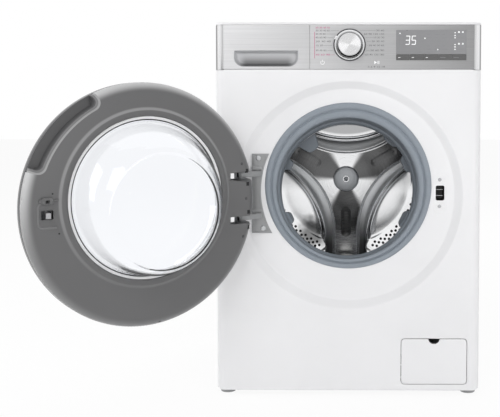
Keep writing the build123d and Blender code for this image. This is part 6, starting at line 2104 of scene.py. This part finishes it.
        # The ridge is in the paler lip grey: painted highlight.
        self.add("latch_frame", Shape(DOOR).tube(raised(path, 0.5), 2.3, 12), LIP_HIGHLIGHT_GREY)
        across = self.latch[0]
        guide = Shape(DOOR)
        guide.slab(rounded(23.0, 14.0, 4.0, (across, 22.5), 5), [rounded(7.0, 6.0, 1.5, (across, 21.0), 3)],
                   -6.0, 0.5, 1.8)
        guide.slab(circle(4.6, (-221.0, 22.5), 24), (), -4.0, 0.5, 1.4)
        arm = ((-199.0, 22.0, -0.5), (-193.0, 23.0, -1.5), (-187.0, 24.0, -3.0))
        guide.tube([Vector(point) for point in arm], 2.2, 10)
        guide.slab(rounded(27.0, 21.0, 3.0, self.latch, 4), [rounded(23.4, 17.4, 1.4, self.latch, 3)],
                   -1.0, 0.5, 0.7)
        self.add("latch_guide", guide, RING_GREY)
        backing = Shape(DOOR).slab(rounded(56.0, 60.0, 4.0, (-211.0, -5.0), 3), (), 26.6, 27.6, 0.2)
        self.add("latch_backing", backing, GREY_PLASTIC)

    def build_ring_details(self) -> None:
        """Adds the ring's holes as black blocks of painted shade, its screws and bright stops, and the bead
        round the glass.
        """
        holes, screws, stops = Shape(DOOR), Shape(DOOR), Shape(DOOR)
        for x, y in ((231.0, 61.5), (233.0, 33.0), (235.0, -29.0), (234.5, -63.0)):
            face = self.relief(x, y)
            holes.box((x - 3.4, y - 4.2, face - 0.45), (x + 3.4, y + 4.2, face + 3.0), 0.2)
        for x, y, radius in ((-208.9, 21.0, 2.6), (25.0, -245.0, 2.2), (-186.0, -43.0, 1.8),
                             (-198.0, 36.0, 1.8)):
            face = self.relief(x, y)
            holes.slab(circle(radius, (x, y), 16), (), face - 0.15, face + 3.0, 0.0)
        for spot in ((218.7, 77.5), (229.0, 1.0), (221.0, -82.0)):
            screws.screw(spot, 3.2, self.relief(*spot) - 0.35, 1.6)
        for lift in self.slots:
            stops.box((200.5, lift - 7.0, 18.5), (210.0, lift + 7.0, 25.5), 1.0)
        self.add("ring_holes", holes, HOLE_SHADE_BLACK)
        self.add("ring_screws", screws, DARK_PLASTIC)
        self.add("hinge_stops", stops, CHROME_BRIGHT)
        bead = Shape(DOOR)
        bead.slab(circle(168.3, GLASS_AXIS, 192), [circle(162.6, GLASS_AXIS, 192)], -0.8, 8.2, 0.8)
        self.add("glass_bead", bead, LID_WHITE)
        line = Shape(DOOR).tube(raised(circle(161.4, GLASS_AXIS, 192), 0.9), 1.2, 8, True)
        self.add("glass_line", line, DARK_PLASTIC)

    def build_bowl(self) -> None:
        """Blows the glass bowl as a closed wall."""
        outer = [raised(circle(max(radius, 1e-5), (0.0, lift), 192), out) for out, radius, lift in self.bowl]
        inner = []
        for place in range(4, len(self.bowl)):
            out, radius, lift = self.bowl[place]
            before, after = self.bowl[place - 1], self.bowl[min(place + 1, len(self.bowl) - 1)]
            way = Vector((after[0] - before[0], after[1] - before[1])).normalized() * self.bowl_wall
            ring = circle(max(radius - abs(way.x), 1e-5), (0.0, lift), 192)
            inner.append(raised(ring, out - way.y))
        top = [raised(circle(radius, GLASS_AXIS, 192), 12.0) for radius in (164.0, 180.0)]
        shape = Shape(DOOR).skin(outer).skin(inner[::-1] + top)
        self.add("bowl_skin", shape, GLASS, replaces=("door_bowl",))


@dataclass
class Works(Assembly):
    """Everything that works inside the cabinet.

    Attributes:
        spring_side: Distance of each spring from the middle.
        spring_depth: Depth of the springs.
        hoses: Piece, node, place, levels, radii, folds and the two bodies of each folded hose.
    """

    spring_side: float = 268.0
    spring_depth: float = 320.0
    hoses: Sequence[tuple] = (
        ("pump_hose_folds", "tub_pump_hose", (60.0, 118.0), (118.0, 165.0), (18.0, 22.0), 6,
         ("cabinet", "tub")),
        ("fill_bellows_folds", "fill_bellows", (-115.0, 240.0), (728.0, 746.0), (10.6, 14.0), 3,
         ("tub", "cabinet")))

    def build(self) -> None:
        """Makes every inner piece."""
        self.dress(TUB, "tub_front", "tub_rear")
        self.dress(CONCRETE, "counterweights")
        self.dress(COPPER, "motor_stator")
        self.dress(MACHINED, "shaft_bearings", "damper_pistons", "water_heater")
        self.dress(ALUMINIUM, "drying_fan_housing", "drying_heater_duct")
        self.dress(HOUSING, "condenser_duct", "drain_pump", "dispenser_housing", "control_board_box")
        self.dress(GREY_PLASTIC, "power_board_box", "damper_cylinders", "drain_filter")
        self.dress(DARK_PLASTIC, "fan_impeller", "pump_impeller")
        self.build_springs()
        self.build_hoses()

    def build_springs(self) -> None:
        """Winds the two springs that carry the tub."""
        shape = Shape(LEVEL)
        turns, start, tall = 24 * 16, 628.0, 140.0
        for side in (-1.0, 1.0):
            x, y = side * self.spring_side, self.spring_depth
            coil = circle(9.5, (x, y), 16)
            path = [Vector((*coil[step % 16], start + tall * step / turns)) for step in range(turns + 1)]
            hook = [Vector((x, y, 609.0)), Vector((x, y, 616.0)), Vector((x + 4.0, y, 623.0))]
            upper = [Vector((x + 4.0, y, 773.0)), Vector((x, y, 780.0)), Vector((x, y, 788.4))]
            shape.tube(hook + path + upper, 1.5, 8)
        across = ("tub", "cabinet", (0, 0, 0.62), (0, 0, 0.78))
        self.add("spring_coils", shape, MACHINED, replaces=("suspension_springs",), across=across)

    def build_hoses(self) -> None:
        """Folds the hose to the pump and the bellows from the detergent box."""
        for name, node, spot, (low, high), (small, large), folds, bodies in self.hoses:
            step = (high - low) / folds
            wave = ((small, 0.12), (large - 0.6, 0.34), (large, 0.5), (large - 0.6, 0.66), (small, 0.88))
            outer = [(radius, low + (fold + share) * step) for fold in range(folds) for radius, share in wave]
            ends = [(small, high), (small - 2.4, high), (small - 2.4, low), (small, low)]
            shape = Shape(LEVEL).lathe([(small, low), *outer, *ends], spot, 48)
            across = (*bodies, (0, 0, low * MM), (0, 0, high * MM))
            self.add(name, shape, BLACK_RUBBER, replaces=(node,), across=across)


def main() -> None:
    """Builds the studio and the machine, piece by piece."""
    logging.basicConfig(level=logging.INFO, format="%(name)s: %(message)s")
    Studio().build()
    for part in (CabinetShell(), ControlBand(), DoorSeal(), Drum(), Door(), Works()):
        LOG.info("building %s", type(part).__name__)
        part.build()


if __name__ == "__main__":
    main()
